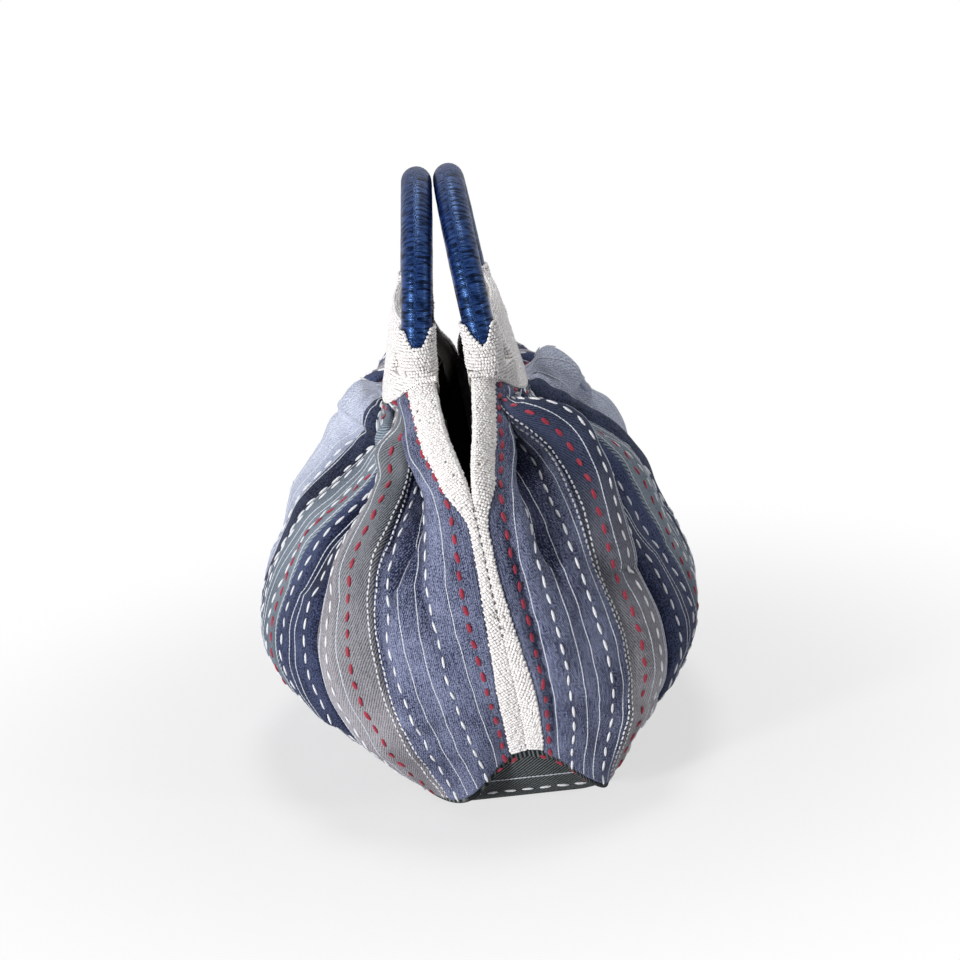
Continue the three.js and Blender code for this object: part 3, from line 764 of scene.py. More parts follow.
def grained(name, scale, detail, dark, light, rise, low=0.0, high=1.0, rough=0.5, **sockets):
    """Two colours and a relief that follow one noise."""
    n = Material(name, **sockets)
    grain = n.noise("Object", scale, detail, rough)
    return n.finish(n.blend(n.spread(grain, low, high), linear(*dark), linear(*light)), grain, rise)


def thread(name, light, dark):
    """Thick cotton thread, whose plies show as a fine, uneven shade."""
    return grained(name, (1.3,) * 3, 2.0, dark, light, 0.15, 0.3, 0.7, Roughness=0.65, Sheen_Weight=0.2)


def lining_material(name, dark, light):
    """Thin plain cloth, a little blotched."""
    n = Material(name, Roughness=0.85, Specular_IOR_Level=0.15)
    weave = n.noise("Object", (1.1, 1.1, 0.8), 3.0)
    blotches = n.noise("Object", (0.04, 0.04, 0.03), 2.0)
    tone = n.weighted((weave, 0.6), (blotches, 0.4))
    return n.finish(n.blend(n.spread(tone, 0.35, 0.65), linear(*dark), linear(*light)), weave, 0.2)


def satin_material():
    """Satin thread laid close round the handle: bundles of fine strands, some duller than others, and painted
    shade darkening the grooves between the turns."""
    n = Material("satin_thread", Specular_Tint=(0.22, 0.46, 1.0, 1.0))
    strands = n.noise("UV", (2.4, 0.09, 1), 2.0)
    bundles = n.noise("UV", (0.6, 0.12, 1), 2.0)
    tone = n.weighted((strands, 0.45), (bundles, 0.55))
    # The grooves between the turns are darkened: painted shade.
    tone = n.math("MULTIPLY", n.spread(tone, 0.42, 0.58), n.spread(n.fold(), 0, 1, 0.12, 1))
    n.put(n.shader.inputs["Roughness"], n.spread(bundles, 0.4, 0.6, 0.36, 0.27))
    n.put(n.shader.inputs["Specular IOR Level"], n.spread(bundles, 0.42, 0.58, 0.2, 1.0))
    color = n.blend(tone, linear(1, 3, 13), linear(29, 57, 121))
    return n.finish(color, n.math("ADD", strands, bundles), 0.09)


BEADS = grained("glazed_beads", (0.5,) * 3, 3.0, (218, 212, 210), (246, 244, 243), 0.05, 0.3, 0.62, 0.7,
                Roughness=0.38, Specular_IOR_Level=0.4)
# The thread and cloth between the beads
BACKING = grained("bead_backing", (1.2,) * 3, 3.0, (196, 192, 189), (232, 229, 226), 0.2, Roughness=0.9)
HANDLE_CORE = grained("handle_core", (0.4, 0.4, 2.0), 3.0, (112, 84, 54), (160, 128, 90), 0.2, Roughness=0.8)
LINING = lining_material("dark_lining", (66, 62, 60), (112, 105, 98))
FACING = lining_material("yoke_facing", (176, 168, 158), (210, 202, 192))
SATIN = satin_material()
WHITE_THREAD = thread("white_thread", (246, 246, 248), (208, 210, 216))
RED_THREAD = thread("red_thread", (176, 26, 60), (112, 12, 38))
FINE_THREAD = thread("fine_thread", (232, 235, 242), (186, 192, 206))
DARK_THREAD = thread("dark_thread", (70, 66, 70), (38, 36, 42))

# The grey strip's other weave, on the front and on the back; the back's dark colours are also painted shade
# of the fold below the yoke
FRONT_STRIPE = (75, 101, (30, 36, 46), (128, 132, 138), 0.8)
BACK_STRIPE_AND_SHADE = (75, 112, (13, 17, 32), (72, 80, 106), 0.5)

# By cloth, and by strip where one strip is woven differently; the back's grey strip is also painted paler, as
# painted light, and has painted shade in its stripe
CLOTHS = {
    "blue_denim": woven("blue_denim", (30, 35, 60), (148, 155, 186), 1.0, 0.3, 1.2),
    "grey_twill": woven("grey_twill", (88, 86, 91), (172, 168, 175), 0.6, 0.45, 1.3, FRONT_STRIPE),
    "navy_denim": woven("navy_denim", (14, 19, 42), (80, 89, 122)),
    "blue_twill": woven("blue_twill", (40, 52, 70), (150, 162, 174), 0.45, 0.8, 1.3),
    "dark_denim": woven("dark_denim", (14, 17, 34), (72, 80, 106)),
    "pale_chambray": woven("pale_chambray", (132, 140, 164), (208, 213, 230), 0.8, 0.3, 1.2),
    "base_twill": woven("base_twill", (26, 31, 34), (130, 136, 136), 0.35, 0.9, 1.3),
    "far_grey": woven("far_grey_twill", (116, 113, 119), (186, 182, 190), 0.6, 0.25),
}
# The back's grey twill is paler than the front's: painted light for the side that the lamps light less.
CLOTHS["back_grey"] = woven(
    "grey_twill_painted_light_and_shade", (106, 104, 108), (200, 197, 202), 0.6, 0.45, 1.3, BACK_STRIPE_AND_SHADE
)


# Small shapes that repeat, a bead and stitches, with X along the hole or the thread

def barrel(name, length, width, height, profile, sides):
    """A closed round shape along X. profile is (share of half length, share of half width) by turns."""
    turns = 2 * math.pi * (np.arange(sides) + 0.5) / sides
    rings = []
    for along, size in profile:
        y, z = np.cos(turns) * size * width / 2, np.sin(turns) * size * height / 2
        rings.append(np.stack([np.full(sides, along * length / 2), y, z], -1))
    return capped_tube(name, rings, True)


BEAD_PROFILE = ((-1, 0.3), (-0.72, 0.82), (0, 1), (0.72, 0.82), (1, 0.3))
STITCH_PROFILE = ((-1, 0.12), (-0.8, 0.6), (-0.35, 1), (0.35, 1), (0.8, 0.6), (1, 0.12))
FINE_PROFILE = ((-1, 0.5), (-0.6, 1), (0.6, 1), (1, 0.5))
bead_shape = barrel("bead_shape", BEAD_LENGTH, BEAD_WIDTH, BEAD_WIDTH, BEAD_PROFILE, 6)
white_shape = barrel("white_shape", STITCH_LENGTH, STITCH_WIDTH, 1.3, STITCH_PROFILE, 8)
red_shape = barrel("red_shape", RED_STITCH_LENGTH, RED_STITCH_WIDTH, 1.5, STITCH_PROFILE, 8)
fine_shape = barrel("fine_shape", FINE_LENGTH, FINE_WIDTH, 0.55, FINE_PROFILE, 4)
small_shape = barrel("small_shape", LADDER_LENGTH, LADDER_WIDTH, 0.8, FINE_PROFILE, 6)
SHAPES = (bead_shape, white_shape, red_shape, fine_shape, small_shape)


# Node trees for what repeats

def placing_tree(name, follows_curve):
    """Sets a shape on each point, its X along the thread and its Z out of the surface. Where it
    follows a curve, the points are first spaced evenly along the lines."""
    tree = bpy.data.node_groups.new(name, "GeometryNodeTree")
    labels = {"Geometry": "Geometry", "Shape": "Object", "Pitch": "Float", "Wobble": "Float"}
    labels |= {"Seed": "Int", "Finish": "Material"}
    for label, kind in labels.items():
        tree.interface.new_socket(label, in_out="INPUT", socket_type="NodeSocket" + kind)
    tree.interface.new_socket("Geometry", in_out="OUTPUT", socket_type="NodeSocketGeometry")
    n = Tree(tree)
    given = n.add("NodeGroupInput").outputs

    def named(attribute):
        node = n.add("GeometryNodeInputNamedAttribute", {"Name": attribute}, data_type="FLOAT_VECTOR")
        return node.outputs["Attribute"]

    def random(low, high):
        """A seeded random vector for each point, between low and high on every axis."""
        inputs = {"Min": (low,) * 3, "Max": (high,) * 3, "Seed": given["Seed"]}
        return n.add("FunctionNodeRandomValue", inputs, data_type="FLOAT_VECTOR").outputs["Value"]

    def added(a, b):
        return n.add("ShaderNodeVectorMath", {0: a, 1: b}).outputs["Vector"]

    points = given["Geometry"]
    if follows_curve:
        curve = n.add("GeometryNodeMeshToCurve", {"Mesh": points}).outputs["Curve"]
        inputs = {"Curve": curve, "Length": given["Pitch"]}
        points = n.add("GeometryNodeResampleCurve", inputs, mode="LENGTH").outputs["Curve"]
        along = n.add("GeometryNodeInputTangent").outputs["Tangent"]
    else:
        along = named("along")
    inputs = {"Vector": random(-1.0, 1.0), "Scale": given["Wobble"]}
    wobble = n.add("ShaderNodeVectorMath", inputs, operation="SCALE").outputs["Vector"]
    inputs = {"Primary Axis": added(named("facing"), wobble), "Secondary Axis": added(along, wobble)}
    turned = n.add("FunctionNodeAxesToRotation", inputs, primary_axis="Z", secondary_axis="X")
    shape = n.add("GeometryNodeObjectInfo", {"Object": given["Shape"]})
    placed = n.add("GeometryNodeInstanceOnPoints", {
        "Points": points,
        "Instance": shape.outputs["Geometry"],
        "Rotation": turned.outputs["Rotation"],
        "Scale": random(0.92, 1.06),
    })
    real = n.add("GeometryNodeRealizeInstances", {"Geometry": placed.outputs["Instances"]})
    inputs = {"Geometry": real.outputs["Geometry"], "Material": given["Finish"]}
    painted = n.add("GeometryNodeSetMaterial", inputs)
    n.add("NodeGroupOutput", {"Geometry": painted.outputs["Geometry"]})
    return tree


BEADWORK = placing_tree("beadwork", False)
RUNNING_STITCH = placing_tree("running_stitch", True)


def grown(name, carrier, tree, values):
    """The plain mesh that a tree makes on a carrier, which is then removed."""
    modifier = carrier.modifiers.new("grow", "NODES")
    modifier.node_group = tree
    for item in tree.interface.items_tree:
        if item.in_out == "INPUT" and item.name in values:
            modifier[item.identifier] = values[item.name]
    carrier.update_tag()
    bpy.context.view_layer.update()
    graph = bpy.context.evaluated_depsgraph_get()
    mesh = bpy.data.meshes.new_from_object(carrier.evaluated_get(graph))
    mesh.name = name
    bpy.data.objects.remove(carrier)
    return new_object(name, mesh)


def add_vectors(obj, name, values):
    """Gives each point of a mesh a vector of that name."""
    attribute = obj.data.attributes.new(name, "FLOAT_VECTOR", "POINT")
    attribute.data.foreach_set("vector", np.asarray(values, np.float32).ravel())


def beadwork(name, points, facing, along, seed):
    """Beads at the points, in millimetres, with a few left out and each a little out of place."""
    random = np.random.default_rng(seed)
    keep = random.random(len(points)) > MISSING_BEADS
    points, facing, along = (np.asarray(v)[keep] for v in (points, facing, along))
    points = points + random.normal(0, BEAD_STRAY, points.shape)
    carrier = mesh_piece(name + "_points", points, [])
    add_vectors(carrier, "facing", facing)
    add_vectors(carrier, "along", along)
    values = {"Shape": bead_shape, "Wobble": BEAD_WOBBLE, "Seed": seed, "Finish": BEADS}
    return grown(name, carrier, BEADWORK, values)


def stitches(name, lines, shape, pitch, finish, seed, wobble):
    """Stitches along lines, each a pair of arrays: its points in millimetres and its facing."""
    points, facing = joined(lines)
    edges, start = [], 0
    for line, _ in lines:
        edges += [(i, i + 1) for i in range(start, start + len(line) - 1)]
        start += len(line)
    carrier = mesh_piece(name + "_lines", points, [], edges=edges)
    add_vectors(carrier, "facing", facing)
    values = {"Shape": shape, "Pitch": pitch * MM, "Wobble": wobble, "Seed": seed, "Finish": finish}
    piece = grown(name, carrier, RUNNING_STITCH, values)
    return finished(piece, None, "bag")


# Cloth

HEM = 1.5 * SEAM_GAP / CLOTH_DROP  # where the strips start below the yoke, as a row
PATCH_GAP = 0.08  # between a strip and its seam's middle
ROLL_DEPTH = 0.85  # how far a strip's edges are rolled under at a seam
ROLL_REACH = 1.5
VALLEY_LEVEL = -14  # out of the even shape, where the cloth is darkest: unworn, and most in painted shade
CREST_LEVEL = 10  # and where it is palest: worn most, with no painted shade


def edging_width(side_name, t):
    """Wide beside the slit, narrow at its foot, and a little wider again towards the base."""
    neck = smooth((t - NARROW_START) / NARROW_SHARE)
    band = mix(BAND_NECK, BAND_FOOT, smooth((t - 0.5) / 0.35))
    return mix(SLIT_EDGINGS[side_name], band, neck)


def patch_piece(side_name, patch, start, first, last):
    """One strip of cloth, rolled under a little at its seams."""
    side, (width, slot) = sides[side_name], PATCHES[patch]
    rows = np.linspace(HEM, 1 - HEM, 160)
    bound = edging_width(side_name, rows)
    near = (bound if first else np.full(len(rows), float(start))) + PATCH_GAP
    far = (CLOTH_WIDTH - bound if last else np.full(len(rows), float(start + width))) - PATCH_GAP
    margin = 0.9 / width
    seam = margin * np.array([0, 0.35, 1])
    count = max(3, round(width / (0.9 if first else 1.4)))
    between = mix(2 * margin, 1 - 2 * margin, np.linspace(0, 1, count))
    columns = np.unique(np.concatenate([seam, between, 1 - seam]))
    f = near[:, None] + (far - near)[:, None] * columns
    t = np.broadcast_to(rows[:, None], f.shape)
    from_seam = np.minimum(f - near[:, None], far[:, None] - f)
    rolled = ROLL_DEPTH * (1 - smooth(from_seam / ROLL_REACH)) ** 1.5
    outer = side.at(f, t, CLOTH_THICKNESS / 2 - rolled)
    inner = side.at(f, t, -CLOTH_THICKNESS / 2)
    uv = np.stack([f, t * CLOTH_DROP], -1)
    i = np.round(t * (len(ROWS_T) - 1)).astype(int)
    j = np.round(f / CLOTH_WIDTH * (len(COLUMNS_F) - 1)).astype(int)
    # How high on a pleat each place lies; the cloth turns it into paler crests and darker valleys, partly
    # wear and partly painted shade.
    crest = smooth((side.fold_out[i, j] - VALLEY_LEVEL) / (CREST_LEVEL - VALLEY_LEVEL))
    node = f"{side_name}_patch_{patch}"
    obj = slab(node + "_cloth", outer, inner, side.sign < 0, uv, crest)
    own = CLOTHS.get(f"{side_name}_{patch}") or CLOTHS.get(patch)
    finished(obj, own or CLOTHS[slot], "bag", node, slot=slot)


def patches():
    """The strips of both sides, from the near edging to the far one."""
    names = list(PATCHES)
    for side_name in SIDES:
        start = BAND_HALF_WIDTH
        for patch in names:
            patch_piece(side_name, patch, start, patch == names[0], patch == names[-1])
            start += PATCHES[patch][0]


def stitched_lines(side_name, places, lift):
    """Lines down one side at the places across it, a little uneven, as hands sew them."""
    side = sides[side_name]
    t = np.linspace(LINE_INSET, 1 - LINE_INSET, 260)
    lines = []
    for k, f in enumerate(places):
        wander = 0.9 * soft_noise(t * 9 + k * 3.7, float(k), 77) + 0.3 * soft_noise(t * 31, float(k), 78)
        across = f + wander
        lines.append((side.at(across, t, lift), side.normal(across, t)))
    return lines


def cloth_stitches():
    # For each kind: its lines, how far out of the cloth they lie, its shape, pitch and thread, and
    # its seed and wobble.
    kinds = {
        "white": (WHITE_LINES, 0.3, white_shape, STITCH_PITCH, WHITE_THREAD, 20, 0.1),
        "red": (RED_LINES, 0.3, red_shape, STITCH_PITCH, RED_THREAD, 30, 0.22),
        "fine": (FINE_LINES, 0.1, fine_shape, FINE_PITCH, FINE_THREAD, 40, 0.05),
        "ladder": (LADDER_LINES, 0.2, small_shape, LADDER_PITCH, WHITE_THREAD, 44, 0.2),
    }
    for i, side_name in enumerate(SIDES):
        for kind, (places, lift, shape, pitch, finish, seed, wobble) in kinds.items():
            lines = stitched_lines(side_name, places[side_name], CLOTH_THICKNESS / 2 + lift)
            stitches(f"{side_name}_{kind}_stitches", lines, shape, pitch, finish, seed + i, wobble)


# Beaded edgings

EDGE_ROUND = 1.1  # from the edging's middle surface to the middles of its beads
EDGE_CORE = 0.7  # half the thickness of the folded cloth under the beads
BAND_END = 0.986  # the row where the edgings end above the base
SLIT_FOOT = 0.4  # the row where the slit ends and the two sides' edgings join
SLIT_BULGE = 1.5  # how far an edging is rounded out beside the slit
BAND_BULGE = 0.7


def from_near(f, end):
    """The distances f from an end's edge, as distances from the near edge."""
    return f if end > 0 else CLOTH_WIDTH - f


def rounded_out(f, width, bulge):
    """How far the middle of an edging stands out of its edges."""
    return bulge * np.sin(math.pi * f / (width + 1)) ** 0.8


def edging_section(t, width, odd):
    """Across one edging at t: (distance from its edge, lift, turn of its face) for each bead. It wraps
    the slit's edge and, below the slit, ends at the seam between the two sides."""
    beside_slit = t < SLIT_FOOT
    start = EDGE_ROUND + 0.9 if beside_slit else 0.85
    columns = max(4, round((width - start) / BEAD_COLUMN))
    places = [start + (width - start) * (k + 0.3 + 0.4 * odd) / columns for k in range(columns)]
    bulge = SLIT_BULGE if beside_slit else BAND_BULGE
    flat = [(f, EDGE_ROUND + rounded_out(f, width, bulge), 0.0) for f in places]
    if not beside_slit:
        return [(0.7, EDGE_ROUND - 0.1, -0.2)] + flat
    wrap = []
    for k in range(4):
        turn = math.pi * (k + 0.35) / 3.6
        reach = EDGE_ROUND + 0.9 - (EDGE_ROUND + 0.2) * math.sin(turn)
        wrap.append((reach, EDGE_ROUND * 1.5 * math.cos(turn), -turn))
    under = [(EDGE_ROUND + 0.9 + BEAD_COLUMN * (k + 0.5), -EDGE_ROUND, -math.pi) for k in range(2)]
    return flat + wrap + under


def edging_beads(side_name, end_name):
    """Rows of beads across one edging, from the yoke down to the base."""
    side, end = sides[side_name], ENDS[end_name]
    t_line = np.linspace(0, BAND_END, 400)
    length = run_of(side.at(from_near(6.0, end), t_line))
    rows = np.interp(np.arange(0.3 * BEAD_ROW, length[-1], BEAD_ROW), length, t_line)
    uneven = 0.35 * soft_noise(np.arange(len(rows)) / 2.3, 3.0, 11 if end > 0 else 12)
    found = []
    for row, (t, shift) in enumerate(zip(rows, uneven)):
        section = edging_section(t, float(edging_width(side_name, t)) + shift, row % 2)
        f, lift, turn = np.array(section).T
        f = from_near(f, end)
        n = side.normal(f, t)
        across = unit(side.at(f + 0.5 * end, t) - side.at(f - 0.5 * end, t))
        cos, sin = np.cos(turn)[:, None], np.sin(turn)[:, None]
        found.append((side.at(f, t, lift), n * cos + across * sin, across * cos - n * sin))
    return joined(found)


def edging_core(side_name, end_name):
    """The folded cloth that the beads are sewn to."""
    side, end = sides[side_name], ENDS[end_name]
    rows = np.linspace(0.0, BAND_END, 140)
    shares = np.linspace(0, 1, 17)
    width = edging_width(side_name, rows)[:, None]
    inset = mix(0.9, 0.08, smooth((rows - 0.38) / 0.03))[:, None]
    f = inset + (width - inset + 0.2) * shares
    bulge = mix(SLIT_BULGE, BAND_BULGE, smooth((rows - 0.38) / 0.04))[:, None]
    swell = rounded_out(f, width, bulge)
    f = from_near(f, end)
    t = np.broadcast_to(rows[:, None], f.shape)
    outer = side.at(f, t, EDGE_CORE + swell * 0.9)
    inner = side.at(f, t, -EDGE_CORE)
    obj = slab(f"{side_name}_{end_name}_edging_core", outer, inner, side.sign < 0)
    return finished(obj, BACKING, "bag", slot="white_beads")


def edgings():
    """The cores and the beads of the four edgings."""
    seed = 50
    for side_name in SIDES:
        for end_name in ENDS:
            edging_core(side_name, end_name)
            node = f"{side_name}_{end_name}_edging"
            seed += 1
            beads = beadwork(node + "_beads", *edging_beads(side_name, end_name), seed)
            finished(beads, None, "bag", node, slot="white_beads")


def band_seams():
    """The dark thread that joins the two edgings below the slit, at both ends."""
    side = sides["front"]
    t = np.linspace(0.415, 0.66, 60)
    for end_name, end in ENDS.items():
        f = from_near(0.2, end)
        line = (side.at(f, t, 2.3), side.normal(f, t))
        stitches(end_name + "_band_seam", [line], fine_shape, FINE_PITCH * 1.9, DARK_THREAD, 48, 0.3)


# Yokes and sleeves

SLEEVE_FOOT = YOKE_CORNER - 7
BEAD_BED = 0.45  # how deep under the middles of the beads the cloth lies that they are sewn to
BEAD_SKIN = -0.8  # from the yoke's outer face to the middles of its beads
CORE_FACE = -1.2  # and to the cloth that they are sewn to
FOOT_CENTRE = (77.6, 18.6)  # the middle of a sleeve at its foot, along the bag and across it
FOOT_RADIUS = 6.2
RIM_RADIUS = WRAP_RADIUS + 1.15  # of the bead row at a sleeve's mouth
SKIN_VOXEL = 0.9  # the grain in which the yoke and its sleeves are joined to one smooth skin


def yoke_skin(a, down, sign, outer_shift):
    """Outer and inner points of a yoke at a along it and down its height."""
    seam = even_points(a, 0 * a)
    x = seam[..., 0] * (HANDLE_SPAN / 2 + SLEEVE_RADIUS) / SEAM_REACH
    in_leg = smooth((np.abs(x) - LEG_ROOM + TIP_BLEND) / TIP_BLEND)
    seat = SEAM_GAP + mix(CLOTH_THICKNESS / 2, EDGING_THICKNESS, np.abs(a) ** 4)
    under_leg = smooth((np.abs(x) - LEG_ROOM + 0.8) / 1.6)
    top = mix(YOKE_TOP - 1, HINGE_HEIGHT - SLEEVE_RADIUS - 1.5, under_leg)
    foot = seam[..., 2] + seat
    z = mix(top, foot, down)
    at_tip = in_leg * mix(0.3, 1, smooth((HINGE_HEIGHT - 2 - z) / 16))
    lean = (YOKE_FOOT_DEPTH - YOKE_TOP_DEPTH) * (YOKE_TOP - z) / (YOKE_TOP - foot)
    lean = (YOKE_FOOT_DEPTH - YOKE_TOP_DEPTH - lean) * (1 - at_tip)
    outer = seam[..., 1] - lean + outer_shift
    inner = mix(seam[..., 1] - lean - YOKE_WALL, SLIT_TOP_DEPTH - 0.5, in_leg)
    return np.stack([x, outer * sign, z], -1), np.stack([x, inner * sign, z], -1)


def sleeve_axis(z):
    """The sleeve's middle at height z, as (x, y) at the near end of the back: from the edging up to
    the handle's leaning leg."""
    rise = np.maximum(0, z - HINGE_HEIGHT)
    straight = HANDLE_RISE - HANDLE_SPAN / 2
    leg_x = np.sqrt((HANDLE_SPAN / 2) ** 2 - np.maximum(0, rise - straight) ** 2)
    leg_y = HINGE_DEPTH - rise * math.tan(LEAN)
    share = smooth((z - SLEEVE_FOOT) / (HINGE_HEIGHT - SLEEVE_FOOT))
    return mix(FOOT_CENTRE[0], leg_x, share), mix(FOOT_CENTRE[1], leg_y, share)


def sleeve_radius(z):
    """The sleeve's radius at height z."""
    swell = mix(FOOT_RADIUS, RIM_RADIUS + 0.1, smooth((z - SLEEVE_FOOT) / (HINGE_HEIGHT - 10 - SLEEVE_FOOT)))
    return mix(swell, RIM_RADIUS, smooth((z - HINGE_HEIGHT) / SLEEVE_RISE))


def sleeve_top(turn):
    """Height of the sleeve's edge, cut to a rounded V at the bag's end, where turn is 0."""
    wrapped = (turn + math.pi) % (2 * math.pi) - math.pi
    across = np.minimum(1, np.abs(wrapped) * SLEEVE_RADIUS / NOTCH_HALF_WIDTH)
    return YOKE_TOP - NOTCH_DEPTH * (1 - across**1.35)


def sleeve_point(turn, z, radius, sign, end, squared=True):
    """A point at that turn round a sleeve, which is squared off at the quarter beside the wall."""
    x, y = sleeve_axis(z)
    turn = turn % (2 * math.pi)
    beside_wall = squared & (turn > math.pi / 2) & (turn < math.pi)
    corner = (np.abs(np.cos(turn)) ** 8 + np.abs(np.sin(turn)) ** 8) ** (-1 / 8)
    radius = radius * np.where(beside_wall, corner, 1)
    return np.stack([(x + radius * np.cos(turn)) * end, (y + radius * np.sin(turn)) * sign, z + 0 * turn], -1)


def sleeve_rings(name, sign, end, shrink, cup):
    """A sleeve as a closed body, solid or open at the top round the winding."""
    turns = np.linspace(0, 2 * math.pi, 48, endpoint=False)
    rings = []
    for share in np.linspace(0, 1, 22):
        z = mix(SLEEVE_FOOT, sleeve_top(turns), share)
        rings.append(sleeve_point(turns, z, sleeve_radius(z) - shrink, sign, end))
    if cup:
        room = WRAP_RADIUS + 0.2
        for share in np.linspace(1, 0, 12):
            z = mix(HINGE_HEIGHT - room * 0.94, sleeve_top(turns), share)
            below = np.maximum(0, HINGE_HEIGHT - z)
            bowl = np.sqrt(np.maximum(1.0, room**2 - below**2))
            rings.append(sleeve_point(turns, z, bowl, sign, end, False))
    return capped_tube(name, rings, (sign > 0) == (end > 0))


def yoke_slab(name, sign, shift):
    """A yoke as a slab, and its inner points."""
    a = np.sin(math.pi / 2 * np.linspace(1, -1, 161))
    grid_a, grid_down = np.meshgrid(a, np.linspace(0, 1, 25))
    outer, inner = yoke_skin(grid_a, grid_down, sign, shift)
    return slab(name, outer, inner, sign < 0), inner


def joined_skin(sign):
    """The yoke and its two sleeves as one smooth skin through the middles of the beads: its points in
    millimetres, its triangles and its normals."""
    parts = [yoke_slab("skin_yoke", sign, BEAD_SKIN)[0]]
    parts += [sleeve_rings("skin_sleeve", sign, end, 0.0, False) for end in ENDS.values()]
    for part in parts:
        part.select_set(True)
    bpy.context.view_layer.objects.active = parts[0]
    with bpy.context.temp_override(active_object=parts[0], selected_editable_objects=parts):
        bpy.ops.object.join()
    body = parts[0]
    remesh = body.modifiers.new("join", "REMESH")
    remesh.mode = "VOXEL"
    remesh.voxel_size = SKIN_VOXEL * MM
    soften = body.modifiers.new("soften", "SMOOTH")
    soften.factor = 0.5
    soften.iterations = 12
    graph = bpy.context.evaluated_depsgraph_get()
    mesh = bpy.data.meshes.new_from_object(body.evaluated_get(graph))
    bpy.data.objects.remove(body)
    mesh.calc_loop_triangles()

    def fetched(items, attribute, kind):
        values = np.empty(len(items) * 3, kind)
        items.foreach_get(attribute, values)
        return values.reshape(-1, 3)

    points, normals = (fetched(mesh.vertices, attribute, float) for attribute in ("co", "normal"))
    return points / MM, fetched(mesh.loop_triangles, "vertices", int), normals


def tucked(obj, skin, depth):
    """Draws a core in until it lies at least that deep under the skin of beads."""
    points, triangles, _ = skin
    tree = BVHTree.FromPolygons(points.tolist(), triangles.tolist())
    for vertex in obj.data.vertices:
        place = vertex.co / MM
        nearest, normal, _, _ = tree.find_nearest(place)
        above = (place - nearest).dot(normal)
        if above > -depth:
            vertex.co = (place - normal * (above + depth)) * MM
    return obj


def level_loops(points, triangles, normals, height):
    """The outlines in which a level plane cuts a skin: for each, its points and normals in order."""
    above = points[:, 2] > height
    count = above[triangles].sum(1)
    cut = triangles[(count == 1) | (count == 2)]
    links = {}
    for triangle in cut.tolist():
        ends = []
        for p, q in zip(triangle, triangle[1:] + triangle[:1]):
            if above[p] != above[q]:
                ends.append((min(p, q), max(p, q)))
        links.setdefault(ends[0], []).append(ends[1])
        links.setdefault(ends[1], []).append(ends[0])
    loops = []
    while links:
        edge = min(links)
        chain = [edge]
        step = links.pop(edge)[0]
        while step in links:
            chain.append(step)
            onward = [e for e in links.pop(step) if e in links]
            if not onward:
                break
            step = onward[0]
        ids = np.array(chain)
        low, high = points[ids[:, 0]], points[ids[:, 1]]
        share = ((height - low[:, 2]) / (high[:, 2] - low[:, 2]))[:, None]
        loops.append((mix(low, high, share), unit(mix(normals[ids[:, 0]], normals[ids[:, 1]], share))))
    return loops


def spaced(loop, normals, pitch, shift):
    """Points at an even pitch round a closed outline, with their normals and directions."""
    closed, closed_normals = (np.concatenate([v, v[:1]]) for v in (loop, normals))
    run = run_of(closed)
    length = run[-1]
    count = max(3, round(length / pitch))
    places = (np.arange(count) + shift) * length / count
    ahead, behind = (picked(closed, run, (places + step) % length) for step in (0.6, -0.6))
    places = places % length
    return picked(closed, run, places), unit(picked(closed_normals, run, places)), unit(ahead - behind)


def beaded_places(skin, sign):
    """Level rows of beads over the yoke and its sleeves, apart from where the lining, the cloth and
    the winding are."""
    found = []
    heights = np.arange(YOKE_TOP - 0.6, YOKE_FOOT, -BEAD_ROW)
    for row, height in enumerate(heights):
        for loop, normals in level_loops(*skin, height):
            if len(loop) > 12:
                found.append(spaced(loop, normals, BEAD_COLUMN, 0.5 * (row % 2)))
    points, facing, along = joined(found)
    x, z = np.abs(points[:, 0]), points[:, 2]
    axis_x, axis_y = sleeve_axis(z)
    from_axis = np.hypot(x - axis_x, points[:, 1] * sign - axis_y)
    in_winding = (from_axis < RIM_RADIUS - 0.6) & (z > HINGE_HEIGHT - 3)
    inward = (facing[:, 1] * sign < -0.25) & (x < LEG_ROOM - 1)
    under = facing[:, 2] < -0.75
    keep = ~(in_winding | inward | under)
    near_wall = (x < axis_x) & (points[:, 1] * sign > axis_y)
    on_sleeve = (from_axis < np.where(near_wall, 1.3, 1) * SLEEVE_RADIUS + 0.8) & (x > LEG_ROOM + 0.6)
    return points[keep], facing[keep], along[keep], on_sleeve[keep]


def trim_rows(sign):
    """Single rows of beads: three along the yoke's top edge and two along its foot."""
    a = np.sin(math.pi / 2 * np.linspace(1, -1, 900))
    top, inner = yoke_skin(a, 0 * a, sign, BEAD_SKIN)
    foot, _ = yoke_skin(a, 0 * a + 1, sign, BEAD_SKIN)
    between = np.abs(top[:, 0]) < LEG_ROOM - 0.5
    rows = [(mix(top, inner, share)[between] + [0, 0, 0.4], (0, 0, 1)) for share in (0.14, 0.45, 0.76)]
    rows += [(foot + [0, 0, rise], (0, sign, tilt)) for rise, tilt in ((0.7, -0.1), (-0.3, -0.6))]
    found = []
    for line, normal in rows:
        run = run_of(line)
        places = np.arange(0.5 * BEAD_COLUMN, run[-1], BEAD_COLUMN)
        along = picked(line, run, places + 0.5) - picked(line, run, places - 0.5)
        facing = np.tile(unit(np.array(normal, float)), (len(places), 1))
        found.append((picked(line, run, places), facing, unit(along)))
    return joined(found)


